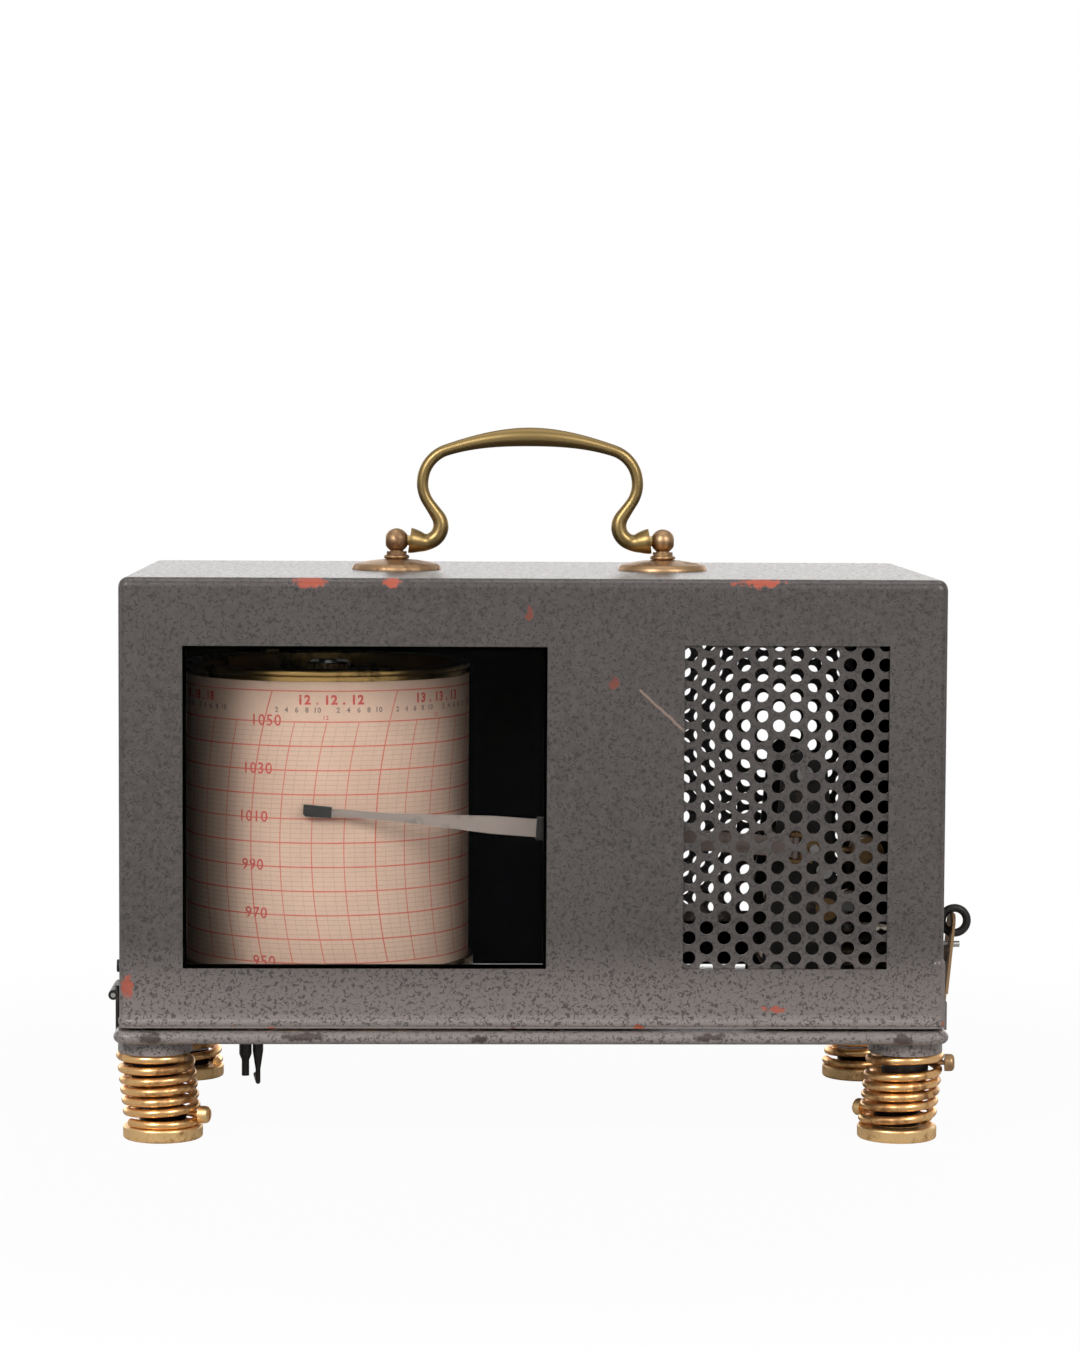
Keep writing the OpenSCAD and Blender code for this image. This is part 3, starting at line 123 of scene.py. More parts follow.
def place(tree, kind, values=None, **settings):
    """Adds a node, sets its plain settings, and links or sets the inputs named in values."""
    node = tree.nodes.new(kind)
    for key, value in settings.items():
        setattr(node, key, value)
    for key, value in (values or {}).items():
        put(tree, node.inputs[key], value)
    return node


def vec(tree, operation, first, second=None):
    """One Vector Math node; gives the node."""
    values = {0: first} if second is None else {0: first, 1: second}
    return place(tree, "ShaderNodeVectorMath", values, operation=operation)


def calc(tree, operation, first, second=0.0, third=0.0, clamp=False):
    """One Math node; gives its output socket."""
    node = place(
        tree,
        "ShaderNodeMath",
        {0: first, 1: second, 2: third},
        operation=operation,
        use_clamp=clamp,
    )
    return node.outputs[0]


def noise(tree, vector, scale, detail=3.0, distortion=0.0, roughness=0.5):
    """Factor output of a noise texture on the given vector."""
    values = {
        "Vector": vector,
        "Scale": scale,
        "Detail": detail,
        "Distortion": distortion,
        "Roughness": roughness,
    }
    return place(tree, "ShaderNodeTexNoise", values).outputs["Fac"]


def ease(tree, value, low, high, out_low=0.0, out_high=1.0):
    """Smooth step of value from low to high, between the two outputs."""
    values = {
        "Value": value, "From Min": low, "From Max": high, "To Min": out_low, "To Max": out_high
    }
    return place(
        tree, "ShaderNodeMapRange", values, interpolation_type="SMOOTHSTEP"
    ).outputs["Result"]


def mix(tree, factor, first, second):
    """Colour mix of first and second by factor."""
    values = {0: factor, 6: first, 7: second}
    return place(tree, "ShaderNodeMix", values, data_type="RGBA").outputs[2]


def rgba(colour):
    """A colour with its alpha."""
    return (*colour, 1.0)


def tone(colour, factor):
    """A colour made paler or darker, with its alpha."""
    return rgba([part * factor for part in colour])


def new_group(name, inputs, outputs):
    """An empty node group with named float, vector or colour sockets."""
    tree = bpy.data.node_groups.new(name, "ShaderNodeTree")
    kinds = {"f": "NodeSocketFloat", "v": "NodeSocketVector", "c": "NodeSocketColor"}
    for label, kind, default in inputs:
        socket = tree.interface.new_socket(label, in_out="INPUT", socket_type=kinds[kind])
        if default is not None:
            socket.default_value = default
    for label, kind in outputs:
        tree.interface.new_socket(label, in_out="OUTPUT", socket_type=kinds[kind])
    return tree, tree.nodes.new("NodeGroupInput"), tree.nodes.new("NodeGroupOutput")


def use_group(tree, group, values):
    """Places a node group with its input values."""
    node = tree.nodes.new("ShaderNodeGroup")
    node.node_tree = group
    for key, value in values.items():
        put(tree, node.inputs[key], value)
    return node


def tarnish_group():
    """Blotches of tarnish: two noises of different size, multiplied and pushed apart."""
    tree, entry, out = new_group(
        "tarnish",
        [("Vector", "v", None), ("Scale", "f", 90.0), ("Spread", "f", 0.5)],
        [("Mask", "f"), ("Fine", "f")],
    )
    wide = noise(tree, entry.outputs["Vector"], entry.outputs["Scale"], 4.0, 0.6, 0.6)
    fine_scale = calc(tree, "MULTIPLY", entry.outputs["Scale"], 7.0)
    fine = noise(tree, entry.outputs["Vector"], fine_scale, 2.0)
    both = calc(tree, "MULTIPLY_ADD", fine, 0.25, calc(tree, "MULTIPLY", wide, 0.75))
    low = calc(tree, "SUBTRACT", 0.78, calc(tree, "MULTIPLY", entry.outputs["Spread"], 0.5))
    high = calc(tree, "ADD", low, 0.16)
    tree.links.new(ease(tree, both, low, high), out.inputs["Mask"])
    tree.links.new(fine, out.inputs["Fine"])
    return tree


def streak_group():
    """Fine turning or drawing marks: noise squeezed along one direction."""
    tree, entry, out = new_group(
        "streaks",
        [("Vector", "v", None), ("Squeeze", "v", (1.0, 1.0, 1.0)), ("Scale", "f", 900.0)],
        [("Height", "f")],
    )
    squeezed = vec(tree, "MULTIPLY", entry.outputs["Vector"], entry.outputs["Squeeze"])
    tree.links.new(
        noise(tree, squeezed.outputs[0], entry.outputs["Scale"], 2.0), out.inputs["Height"]
    )
    return tree


def box_edge_group():
    """Closeness to the edges of an upright box: 1 on an edge, 0 from Reach inwards."""
    tree, entry, out = new_group(
        "box_edges",
        [
            ("Vector", "v", None),
            ("Half", "v", (0.1, 0.1, 0.1)),
            ("Centre", "v", (0.0, 0.0, 0.0)),
            ("Reach", "f", 0.004),
        ],
        [("Mask", "f")],
    )
    from_centre = vec(tree, "SUBTRACT", entry.outputs["Vector"], entry.outputs["Centre"])
    size = vec(tree, "ABSOLUTE", from_centre.outputs[0])
    inward = vec(tree, "SUBTRACT", entry.outputs["Half"], size.outputs[0])
    parts = place(tree, "ShaderNodeSeparateXYZ", {0: inward.outputs[0]})
    x, y, z = parts.outputs
    # the middle one of the three distances is the distance to the nearest edge
    pair_low = calc(tree, "MINIMUM", calc(tree, "MAXIMUM", x, y), calc(tree, "MAXIMUM", y, z))
    middle = calc(tree, "MINIMUM", pair_low, calc(tree, "MAXIMUM", x, z))
    share = calc(tree, "DIVIDE", middle, entry.outputs["Reach"])
    tree.links.new(calc(tree, "SUBTRACT", 1.0, share, clamp=True), out.inputs["Mask"])
    return tree


def spot_group():
    """Round mark: 1 within Radius of Centre, with an edge made ragged by noise."""
    tree, entry, out = new_group(
        "spot",
        [
            ("Vector", "v", None),
            ("Centre", "v", (0.0, 0.0, 0.0)),
            ("Shape", "v", (1.0, 1.0, 1.0)),
            ("Radius", "f", 0.002),
        ],
        [("Mask", "f")],
    )
    away = vec(tree, "SUBTRACT", entry.outputs["Vector"], entry.outputs["Centre"])
    shaped = vec(tree, "MULTIPLY", away.outputs[0], entry.outputs["Shape"])
    distance = vec(tree, "LENGTH", shaped.outputs[0]).outputs["Value"]
    ragged = noise(tree, entry.outputs["Vector"], 620.0, 3.0)
    pushed = calc(tree, "MULTIPLY_ADD", calc(tree, "SUBTRACT", ragged, 0.5), 0.004, distance)
    radius = entry.outputs["Radius"]
    mask = ease(tree, pushed, radius, calc(tree, "MULTIPLY", radius, 0.55))
    tree.links.new(mask, out.inputs["Mask"])
    return tree


GROUPS = {}


def group(name):
    """A node group, made once."""
    makers = {
        "tarnish": tarnish_group,
        "streaks": streak_group,
        "box_edges": box_edge_group,
        "spot": spot_group,
    }
    if name not in GROUPS:
        GROUPS[name] = makers[name]()
    return GROUPS[name]


def new_material(name):
    """A bare Principled material; gives it, its tree, its shader and object coordinates."""
    material = bpy.data.materials.new(name)
    material.use_nodes = True
    tree = material.node_tree
    tree.nodes.clear()
    shader = tree.nodes.new("ShaderNodeBsdfPrincipled")
    end = tree.nodes.new("ShaderNodeOutputMaterial")
    tree.links.new(shader.outputs[0], end.inputs[0])
    coords = tree.nodes.new("ShaderNodeTexCoord").outputs["Object"]
    return material, tree, shader, coords


def bump(tree, shader, height, strength, distance):
    """Feeds a height into the shader's normal."""
    values = {"Height": height, "Strength": strength, "Distance": distance}
    feed(tree, shader, "Normal", place(tree, "ShaderNodeBump", values).outputs[0])


def feed(tree, shader, name, value):
    """Links or sets one input of the shader."""
    put(tree, shader.inputs[name], value)


# Marks on the hood's paint, in metres: place, squeeze, radius, and how red each is
HOOD_MARKS = (
    ((-0.0735, -0.0682, 0.1772), (0.45, 0.6, 1.0), 0.0026, 0.9),
    ((-0.0478, -0.0682, 0.1772), (0.8, 0.6, 1.0), 0.0026, 1.0),
    ((0.0668, -0.0682, 0.1772), (0.25, 0.6, 1.0), 0.0022, 1.0),
    ((-0.0053, -0.0686, 0.1668), (1.0, 0.3, 0.6), 0.0015, 0.35),
    ((0.0210, -0.0686, 0.1452), (1.0, 0.3, 0.8), 0.0019, 0.35),
    ((0.0725, -0.0686, 0.0432), (0.5, 0.3, 1.3), 0.0017, 0.85),
    ((-0.1305, -0.0686, 0.0500), (1.0, 0.3, 0.6), 0.0024, 0.8),
    ((0.1265, -0.0686, 0.0900), (1.0, 0.3, 0.5), 0.0017, 0.7),
)

# Where the base's edge has lost its paint: the same four values, in bare dark metal
BASE_MARKS = (
    ((-0.1225, -0.0715, 0.0340), (0.8, 0.3, 1.3), 0.0034, 0.0),
    ((-0.0755, -0.0715, 0.0345), (0.3, 0.3, 1.6), 0.0026, 0.0),
    ((-0.0205, -0.0715, 0.0340), (0.7, 0.3, 1.3), 0.0020, 0.0),
    ((0.0520, -0.0715, 0.0345), (0.35, 0.3, 1.6), 0.0022, 0.0),
    ((0.1124, -0.0715, 0.0335), (0.8, 0.3, 1.2), 0.0030, 0.0),
)


def hammered_paint(name, base, primer, centre, half, chips, marks=(), extra=None):
    """Hammered enamel: short dark worms on a pale ground, chips along edges, given marks, and
    painted light.
    """
    material, tree, shader, coords = new_material(name)
    worms = noise(tree, coords, 860.0, 2.0, 1.1, 0.5)
    worm_mask = ease(tree, worms, 0.52, 0.62)
    cloud = noise(tree, coords, 22.0, 3.0)
    grit = noise(tree, coords, 420.0, 2.0)
    ground = mix(tree, ease(tree, cloud, 0.35, 0.65), tone(base, 0.9), tone(base, 1.08))
    ground = mix(tree, ease(tree, grit, 0.35, 0.7), ground, tone(base, 1.22))
    parts = place(tree, "ShaderNodeSeparateXYZ", {0: coords})
    up = parts.outputs[2]
    # painted reflection: the paint is paler towards the foot of the hood, where the pale floor
    # would show in it
    lower = ease(tree, up, 0.067, 0.042)
    ground = mix(tree, calc(tree, "MULTIPLY", lower, 0.85), ground, tone(base, 2.9))
    # painted highlight along the hem's bead
    ground = mix(tree, ease(tree, up, 0.0418, 0.0408, 0.0, 0.38), ground, tone(base, 4.5))
    colour = mix(tree, calc(tree, "MULTIPLY", worm_mask, 0.72), ground, rgba(WORM_DARK))
    box = {"Vector": coords, "Half": half, "Centre": centre, "Reach": 0.005}
    edges = use_group(tree, group("box_edges"), box).outputs[0]
    # pale edges: worn paint, and a painted highlight where the rounded edges would catch the light
    rubbed_and_highlight = calc(
        tree, "MULTIPLY", ease(tree, edges, 0.72, 0.95), ease(tree, cloud, 0.3, 0.6, 0.35, 0.8)
    )
    colour = mix(tree, rubbed_and_highlight, colour, tone(base, 3.0))
    chip_noise = noise(tree, coords, 95.0, 5.0, 0.4, 0.62)
    edge_chip = ease(
        tree, calc(tree, "MULTIPLY_ADD", edges, 0.22, chip_noise), 0.86 - chips, 0.88 - chips
    )
    lone = ease(tree, noise(tree, coords, 70.0, 4.0, 0.8, 0.6), 0.785, 0.80)
    chip = calc(tree, "MAXIMUM", edge_chip, lone)
    bare = noise(tree, coords, 300.0, 2.0)
    chip_colour = mix(tree, ease(tree, bare, 0.42, 0.6), rgba(primer), rgba(BARE_METAL))
    colour = mix(tree, chip, colour, chip_colour)
    for place_of, squeeze, radius, red in marks:
        values = {"Vector": coords, "Centre": place_of, "Shape": squeeze, "Radius": radius}
        spot = use_group(tree, group("spot"), values).outputs[0]
        mark = rgba([0.05 + 0.50 * red, 0.03 + 0.075 * red, 0.025 + 0.03 * red])
        colour = mix(tree, calc(tree, "MULTIPLY", spot, 0.85), colour, mark)
        chip = calc(tree, "MAXIMUM", chip, spot)
    if extra:
        colour = extra(tree, coords, parts, colour)
    feed(tree, shader, "Base Color", colour)
    rough = ease(tree, worms, 0.35, 0.7, 0.28, 0.44)
    values = {"Vector": coords, "Scale": 520.0}
    cells = place(tree, "ShaderNodeTexVoronoi", values, feature="SMOOTH_F1").outputs["Distance"]
    hammered = calc(tree, "MULTIPLY_ADD", worms, -0.6, cells)
    height = calc(tree, "SUBTRACT", hammered, calc(tree, "MULTIPLY", chip, 0.6))
    if extra is hood_details:
        # the inner faces are smooth and mirror almost nothing; their near black is dark paint with
        # painted shade
        within = inner_side(tree, parts)
        rough = calc(tree, "MAXIMUM", rough, within)
        height = calc(tree, "MULTIPLY", height, calc(tree, "SUBTRACT", 1.0, within))
        feed(tree, shader, "Metallic", within)
    feed(tree, shader, "Roughness", rough)
    bump(tree, shader, height, 0.3, 0.0003)
    return material


def hood_details(tree, coords, parts, colour):
    """The long pale scratch by the grille, and the near black inside of the sheet: dark paint with
    painted shade.
    """
    # along and across the scratch, which runs down to the right
    start, way, length = (0.0285, 0.1435), (0.737, -0.676), 0.0215
    right = calc(tree, "SUBTRACT", parts.outputs[0], start[0])
    rise = calc(tree, "SUBTRACT", parts.outputs[2], start[1])
    along = calc(tree, "MULTIPLY_ADD", right, way[0], calc(tree, "MULTIPLY", rise, way[1]))
    bend = calc(tree, "MULTIPLY", noise(tree, coords, 160.0, 1.0), 0.0012)
    off = calc(tree, "MULTIPLY_ADD", right, way[1], calc(tree, "MULTIPLY", rise, -way[0]))
    across = calc(tree, "ABSOLUTE", calc(tree, "ADD", off, bend))
    far_end = ease(tree, along, length, length - 0.004)
    inside = calc(tree, "MULTIPLY", ease(tree, along, 0.0, 0.001), far_end)
    line = calc(tree, "MULTIPLY", inside, ease(tree, across, 0.00055, 0.0002))
    front = calc(tree, "LESS_THAN", parts.outputs[1], -0.068)
    scratch = calc(tree, "MULTIPLY", calc(tree, "MULTIPLY", line, front), 0.65)
    colour = mix(tree, scratch, colour, rgba([0.36, 0.25, 0.20]))
    # painted shade: the inner faces are made near black
    return mix(tree, inner_side(tree, parts), colour, rgba(INSIDE_SHADE_BLACK))


def dark_cores(tree, coords, parts, colour):
    """Painted shade: near black on the plugs that the springs are wound over."""
    low = ease(tree, parts.outputs[2], (BOSS_Z - 0.02) * MM, (BOSS_Z - 0.3) * MM)
    return mix(tree, low, colour, rgba(CORE_SHADE_BLACK))


def inner_side(tree, parts):
    """1 on the hood's inner faces, which lie deeper than inset in a block with round edges."""
    turn, inset = 3.0 * MM, 0.6 * MM
    right = calc(tree, "ABSOLUTE", calc(tree, "SUBTRACT", parts.outputs[0], SHIFT_X * MM))
    back = calc(tree, "ABSOLUTE", parts.outputs[1])
    reaches = ((right, HOOD_HALF_W), (back, HOOD_HALF_D), (parts.outputs[2], HOOD_TOP))
    past = [calc(tree, "SUBTRACT", value, edge * MM - turn) for value, edge in reaches]
    over = place(tree, "ShaderNodeCombineXYZ",
                 {axis: calc(tree, "MAXIMUM", value, 0.0) for axis, value in enumerate(past)})
    reach = vec(tree, "LENGTH", over.outputs[0]).outputs["Value"]
    return calc(tree, "LESS_THAN", reach, turn - inset)


def dark_plug(tree, coords, parts, colour):
    """Painted shade: near black on the disc's plug, near the foot's middle and above the disc."""
    beside = calc(tree, "ABSOLUTE", calc(tree, "SUBTRACT", parts.outputs[0], SHIFT_X * MM))
    right = calc(tree, "SUBTRACT", beside, FOOT_X * MM)
    back = calc(tree, "SUBTRACT", calc(tree, "ABSOLUTE", parts.outputs[1]), FOOT_Y * MM)
    squares = calc(tree, "MULTIPLY_ADD", right, right, calc(tree, "MULTIPLY", back, back))
    near = ease(tree, calc(tree, "SQRT", squares), 8.6 * MM, 8.2 * MM)
    above = ease(tree, parts.outputs[2], DISC_T * MM, (DISC_T + 0.2) * MM)
    core = calc(tree, "MULTIPLY", near, above)
    return mix(tree, core, colour, rgba(CORE_SHADE_BLACK))


def metal(name, bright, dull, rough, squeeze, tarnish=0.5, scale=90.0, grain=0.12, extra=None):
    """Metal with blotches of tarnish and fine marks along its working direction."""
    material, tree, shader, coords = new_material(name)
    spots = use_group(tree, group("tarnish"), {"Vector": coords, "Scale": scale, "Spread": tarnish})
    marks = use_group(
        tree, group("streaks"), {"Vector": coords, "Squeeze": squeeze, "Scale": 1400.0}
    )
    colour = mix(tree, spots.outputs["Mask"], rgba(bright), rgba(dull))
    if extra:
        colour = extra(tree, coords, place(tree, "ShaderNodeSeparateXYZ", {0: coords}), colour)
    feed(tree, shader, "Base Color", colour)
    feed(tree, shader, "Metallic", 1.0)
    base_rough = calc(tree, "MULTIPLY_ADD", spots.outputs["Mask"], 0.22, rough)
    feed(tree, shader, "Roughness", calc(tree, "MULTIPLY_ADD", marks.outputs[0], 0.1, base_rough))
    height = calc(
        tree,
        "MULTIPLY_ADD",
        marks.outputs[0],
        0.4,
        calc(tree, "MULTIPLY", spots.outputs["Fine"], 0.4),
    )
    bump(tree, shader, height, grain, 0.0002)
    return material


def black_metal(name, colour, rough):
    """Blackened steel with worn brownish places."""
    material, tree, shader, coords = new_material(name)
    spots = use_group(tree, group("tarnish"), {"Vector": coords, "Scale": 160.0, "Spread": 0.45})
    feed(
        tree,
        shader,
        "Base Color",
        mix(tree, spots.outputs["Mask"], rgba(colour), rgba([0.11, 0.08, 0.055])),
    )
    feed(tree, shader, "Metallic", 0.55)
    feed(tree, shader, "Roughness", calc(tree, "MULTIPLY_ADD", spots.outputs["Fine"], 0.2, rough))
    bump(tree, shader, spots.outputs["Fine"], 0.2, 0.0002)
    return material


def chart_material():
    """Printed paper: lines lie where a height, or an angle along the pen's arc, is a whole step."""
    material, tree, shader, coords = new_material("chart_print")
    parts = place(tree, "ShaderNodeSeparateXYZ", {0: coords})
    x, y, z = parts.outputs
    across = calc(tree, "SUBTRACT", x, DRUM_X * MM)
    angle = calc(tree, "ARCTAN2", across, calc(tree, "MULTIPLY", y, -1.0))
    height = calc(tree, "MULTIPLY", calc(tree, "SUBTRACT", z, CHART_LOW * MM), 1000.0)
    scale_mark = calc(
        tree, "DIVIDE", calc(tree, "SUBTRACT", height, MARK_LOW - CHART_LOW), MARK_UNIT
    )
    # the pen swings about a far pivot, so the hour lines are arcs of its length
    drop = calc(tree, "SUBTRACT", height, ARC_Z - CHART_LOW)
    level = calc(tree, "SUBTRACT", ARC_R * ARC_R, calc(tree, "MULTIPLY", drop, drop))
    bow = calc(tree, "SUBTRACT", ARC_R, calc(tree, "SQRT", level))
    along = calc(tree, "SUBTRACT", calc(tree, "MULTIPLY", angle, CHART_R), bow)
    day = 2.0 * math.pi * CHART_R / DAYS_ROUND

    def lines(value, step, width, soft):
        """1 within width of each whole step."""
        share = calc(tree, "FRACT", calc(tree, "ADD", calc(tree, "DIVIDE", value, step), 0.5))
        away = calc(
            tree, "MULTIPLY", calc(tree, "ABSOLUTE", calc(tree, "SUBTRACT", share, 0.5)), step
        )
        return ease(tree, away, width + soft, width)

    above_foot = ease(tree, scale_mark, -0.3, -0.1)
    in_grid = calc(tree, "MULTIPLY", above_foot, ease(tree, scale_mark, 100.5, 100.2))
    with_header = calc(tree, "MULTIPLY", above_foot, ease(tree, scale_mark, 112.9, 112.6))
    fine_across = lines(scale_mark, 2.0, 0.08, 0.1)
    red_across = lines(scale_mark, 10.0, 0.2, 0.2)
    phase = DAY_START * math.pi / 180.0 * CHART_R
    from_day = calc(tree, "SUBTRACT", along, phase)
    fine_along = lines(from_day, day / 12.0, 0.05, 0.08)
    red_along = lines(from_day, day / 4.0, 0.11, 0.12)
    day_along = lines(from_day, day, 0.17, 0.12)
    fade = ease(tree, noise(tree, coords, 130.0, 3.0), 0.3, 0.75, 0.75, 1.0)
    fine = calc(tree, "MULTIPLY", calc(tree, "MAXIMUM", fine_across, fine_along), in_grid)
    red = calc(tree, "MULTIPLY", calc(tree, "MAXIMUM", red_across, red_along), in_grid)
    red = calc(tree, "MAXIMUM", red, calc(tree, "MULTIPLY", day_along, with_header))
    border = lines(calc(tree, "SUBTRACT", scale_mark, 112.7), 400.0, 0.2, 0.16)
    aged = noise(tree, coords, 24.0, 4.0, 0.4)
    pale, yellowed = rgba([0.80, 0.56, 0.425]), rgba([0.72, 0.49, 0.37])
    paper = mix(tree, ease(tree, aged, 0.35, 0.7), pale, yellowed)
    fibre = noise(tree, coords, 900.0, 3.0)
    paper = mix(tree, ease(tree, fibre, 0.4, 0.7, 0.0, 0.12), paper, rgba([0.5, 0.35, 0.27]))
    fine_ink = calc(tree, "MULTIPLY", fine, calc(tree, "MULTIPLY", fade, 0.5))
    paper = mix(tree, fine_ink, paper, rgba([0.42, 0.27, 0.21]))
    printed = calc(tree, "MAXIMUM", red, border)
    red_ink = calc(tree, "MULTIPLY", printed, calc(tree, "MULTIPLY", fade, 0.85))
    paper = mix(tree, red_ink, paper, rgba([0.70, 0.12, 0.09]))
    feed(tree, shader, "Base Color", paper)
    feed(tree, shader, "Roughness", ease(tree, fibre, 0.3, 0.7, 0.72, 0.86))
    feed(tree, shader, "Specular IOR Level", 0.12)
    bump(tree, shader, fibre, 0.08, 0.0001)
    return material


def ink_material(name, ink):
    """Printing ink with worn places."""
    material, tree, shader, coords = new_material(name)
    worn = noise(tree, coords, 700.0, 3.0)
    colour = mix(tree, ease(tree, worn, 0.55, 0.75, 0.0, 0.6), rgba(ink), rgba([0.76, 0.5, 0.4]))
    feed(tree, shader, "Base Color", colour)
    feed(tree, shader, "Roughness", ease(tree, worn, 0.3, 0.7, 0.6, 0.8))
    return material


def glass_material():
    """Clear pane with faint dust in its roughness."""
    material, tree, shader, coords = new_material("window_pane")
    dust = noise(tree, coords, 60.0, 5.0)
    feed(tree, shader, "Base Color", rgba([0.97, 0.985, 0.98]))
    feed(tree, shader, "Roughness", ease(tree, dust, 0.45, 0.8, 0.0, 0.05))
    feed(tree, shader, "IOR", 1.09)
    feed(tree, shader, "Transmission Weight", 1.0)
    return material


# Mesh helpers

def mesh_piece(name, points, faces, material, smooth=True):
    """A mesh object from an array of points in metres and a list or array of faces."""
    if isinstance(faces, np.ndarray):
        faces = faces.tolist()
    mesh = bpy.data.meshes.new(name)
    mesh.from_pydata(points.tolist(), [], faces)
    mesh.update()
    if smooth:
        mesh.shade_smooth()
    else:
        mesh.shade_flat()
    mesh.materials.append(material)
    piece = bpy.data.objects.new(name, mesh)
    bpy.context.scene.collection.objects.link(piece)
    return piece


def grid_faces(rows, columns, close_rows=False):
    """Quads of a grid of points that closes along each row, numbered row by row."""
    row = np.arange(rows if close_rows else rows - 1)[:, None]
    column = np.arange(columns)[None, :]
    next_column = (column + 1) % columns
    here, onward = row * columns, (row + 1) % rows * columns
    quads = [here + column, here + next_column, onward + next_column, onward + column]
    return np.stack(quads, axis=-1).reshape(-1, 4)


def tube(name, line, radii, up, sides, material):
    """Round tube: a circle square to the line at each of its points, with a fan at each end."""
    line = np.asarray(line, float)
    radii = np.broadcast_to(np.asarray(radii, float), (len(line),))
    way = np.gradient(line, axis=0)
    way /= np.linalg.norm(way, axis=1)[:, None]
    side = np.cross(way, np.asarray(up, float))
    side /= np.linalg.norm(side, axis=1)[:, None]
    over = np.cross(side, way)
    turn = np.linspace(0.0, 2.0 * np.pi, sides, endpoint=False)
    cosine, sine = np.cos(turn)[None, :, None], np.sin(turn)[None, :, None]
    ring = cosine * side[:, None, :] + sine * over[:, None, :]
    points = (line[:, None, :] + radii[:, None, None] * ring).reshape(-1, 3)
    points = np.vstack([points, line[0], line[-1]]) * MM
    count = len(line) * sides
    quads = grid_faces(len(line), sides).tolist()
    first = [[count, (k + 1) % sides, k] for k in range(sides)]
    base = count - sides
    last = [[count + 1, base + k, base + (k + 1) % sides] for k in range(sides)]
    return outward(mesh_piece(name, points, quads + first + last, material))


def lathe(name, profile, centre, steps, material):
    """Closed profile of (radius, height) turned round an upright axis through centre."""
    profile = np.asarray(profile, float)
    turn = np.linspace(0.0, 2.0 * np.pi, steps, endpoint=False)
    x = profile[None, :, 0] * np.cos(turn)[:, None]
    y = profile[None, :, 0] * np.sin(turn)[:, None]
    z = np.broadcast_to(profile[None, :, 1], x.shape)
    points = (np.stack([x, y, z], axis=-1).reshape(-1, 3) + np.asarray(centre, float)) * MM
    return outward(mesh_piece(name, points, grid_faces(steps, len(profile), True), material))


def outward(piece):
    """Turns all faces outwards and smooths by angle."""
    bpy.context.view_layer.objects.active = piece
    for other in bpy.context.selected_objects:
        other.select_set(False)
    piece.select_set(True)
    bpy.ops.object.mode_set(mode="EDIT")
    bpy.ops.mesh.select_all(action="SELECT")
    bpy.ops.mesh.normals_make_consistent(inside=False)
    bpy.ops.object.mode_set(mode="OBJECT")
    piece.data.set_sharp_from_angle(angle=math.radians(35.0))
    return piece


# Bail

def bail_line():
    """Middle line of half the bail: grip, shoulder, straight leg, bend up and straight end."""
    def turn_of(heading):
        """The direction of a heading."""
        return np.array([math.cos(heading), math.sin(heading)])

    def arc(start, heading, radius, sweep, count):
        """Points of an arc that starts along heading; sweep is positive to the left."""
        sign = 1.0 if sweep > 0 else -1.0
        middle = start + sign * radius * np.array([-math.sin(heading), math.cos(heading)])
        steps = heading + np.linspace(0.0, sweep, count)
        points = middle + sign * radius * np.stack([np.sin(steps), -np.cos(steps)], axis=1)
        return points, points[-1], heading + sweep

    bend_r, bend_sweep = 5.5, math.radians(132.8)
    grip, grip_end, heading = arc(np.zeros(2), 0.0, 88.0, -math.radians(18.2), 60)
    shoulder, shoulder_end, leg_heading = arc(grip_end, heading, 11.4, -math.radians(106.6), 60)
    _, bend_step, end_heading = arc(np.zeros(2), leg_heading, bend_r, bend_sweep, 50)
    finish = np.array([POST_X - BALL_R - 0.35, -BAIL_RISE])
    rest = finish - shoulder_end - bend_step
    ways = np.stack([turn_of(leg_heading), turn_of(end_heading)], axis=1)
    leg_len, _ = np.linalg.solve(ways, rest)
    leg_end = shoulder_end + leg_len * turn_of(leg_heading)
    bend, bend_end, _ = arc(leg_end, leg_heading, bend_r, bend_sweep, 50)
    leg = shoulder_end + np.linspace(0.0, 1.0, 12)[:, None] * (leg_end - shoulder_end)
    last = bend_end + np.linspace(0.0, 1.0, 20)[:, None] * (finish - bend_end)
    return np.vstack([grip, shoulder[1:], leg[1:], bend[1:], last[1:]])


def make_bail():
    """Swept bail: its radius goes from grip to shoulder, lower bend and flare by smooth steps."""
    half = bail_line()
    length = np.concatenate([[0.0], np.cumsum(np.linalg.norm(np.diff(half, axis=0), axis=1))])
    share = length / length[-1]

    def step(low, high):
        """Smooth step of the length's share from low to high."""
        part = np.clip((share - low) / (high - low), 0.0, 1.0)
        return part * part * (3.0 - 2.0 * part)

    radius = 3.1 - 1.2 * step(0.0, 0.42) + 0.7 * step(0.68, 0.84) + 1.55 * step(0.9, 1.0)
    radii = np.concatenate([radius[::-1], radius[1:]])
    across, rise = np.vstack([half[::-1] * [-1.0, 1.0], half[1:]]).T
    line = np.stack([across + SHIFT_X, np.zeros(len(across)), rise + BALL_Z + BAIL_RISE], axis=1)
    return tube("bail_body", line, radii, (0.0, 1.0, 0.0), 40, FINISH["bail_brass"])


# Springs

# For each foot: its side and depth, the angles of its bottom and top screw, and the
# turns that lie flat before the bottom screw, past the top screw and before it
SPRING_PLACES = {
    "fl": (-1, -1, -19.0, 110.0, 0.32, 0.59, 0.0),
    "fr": (1, -1, 140.0, 355.0, 0.3, 0.1, 0.236),
    "rl": (-1, 1, 100.0, 240.0, 0.3, 0.1, 0.0),
    "rr": (1, 1, -60.0, 60.0, 0.3, 0.1, 0.0),
}


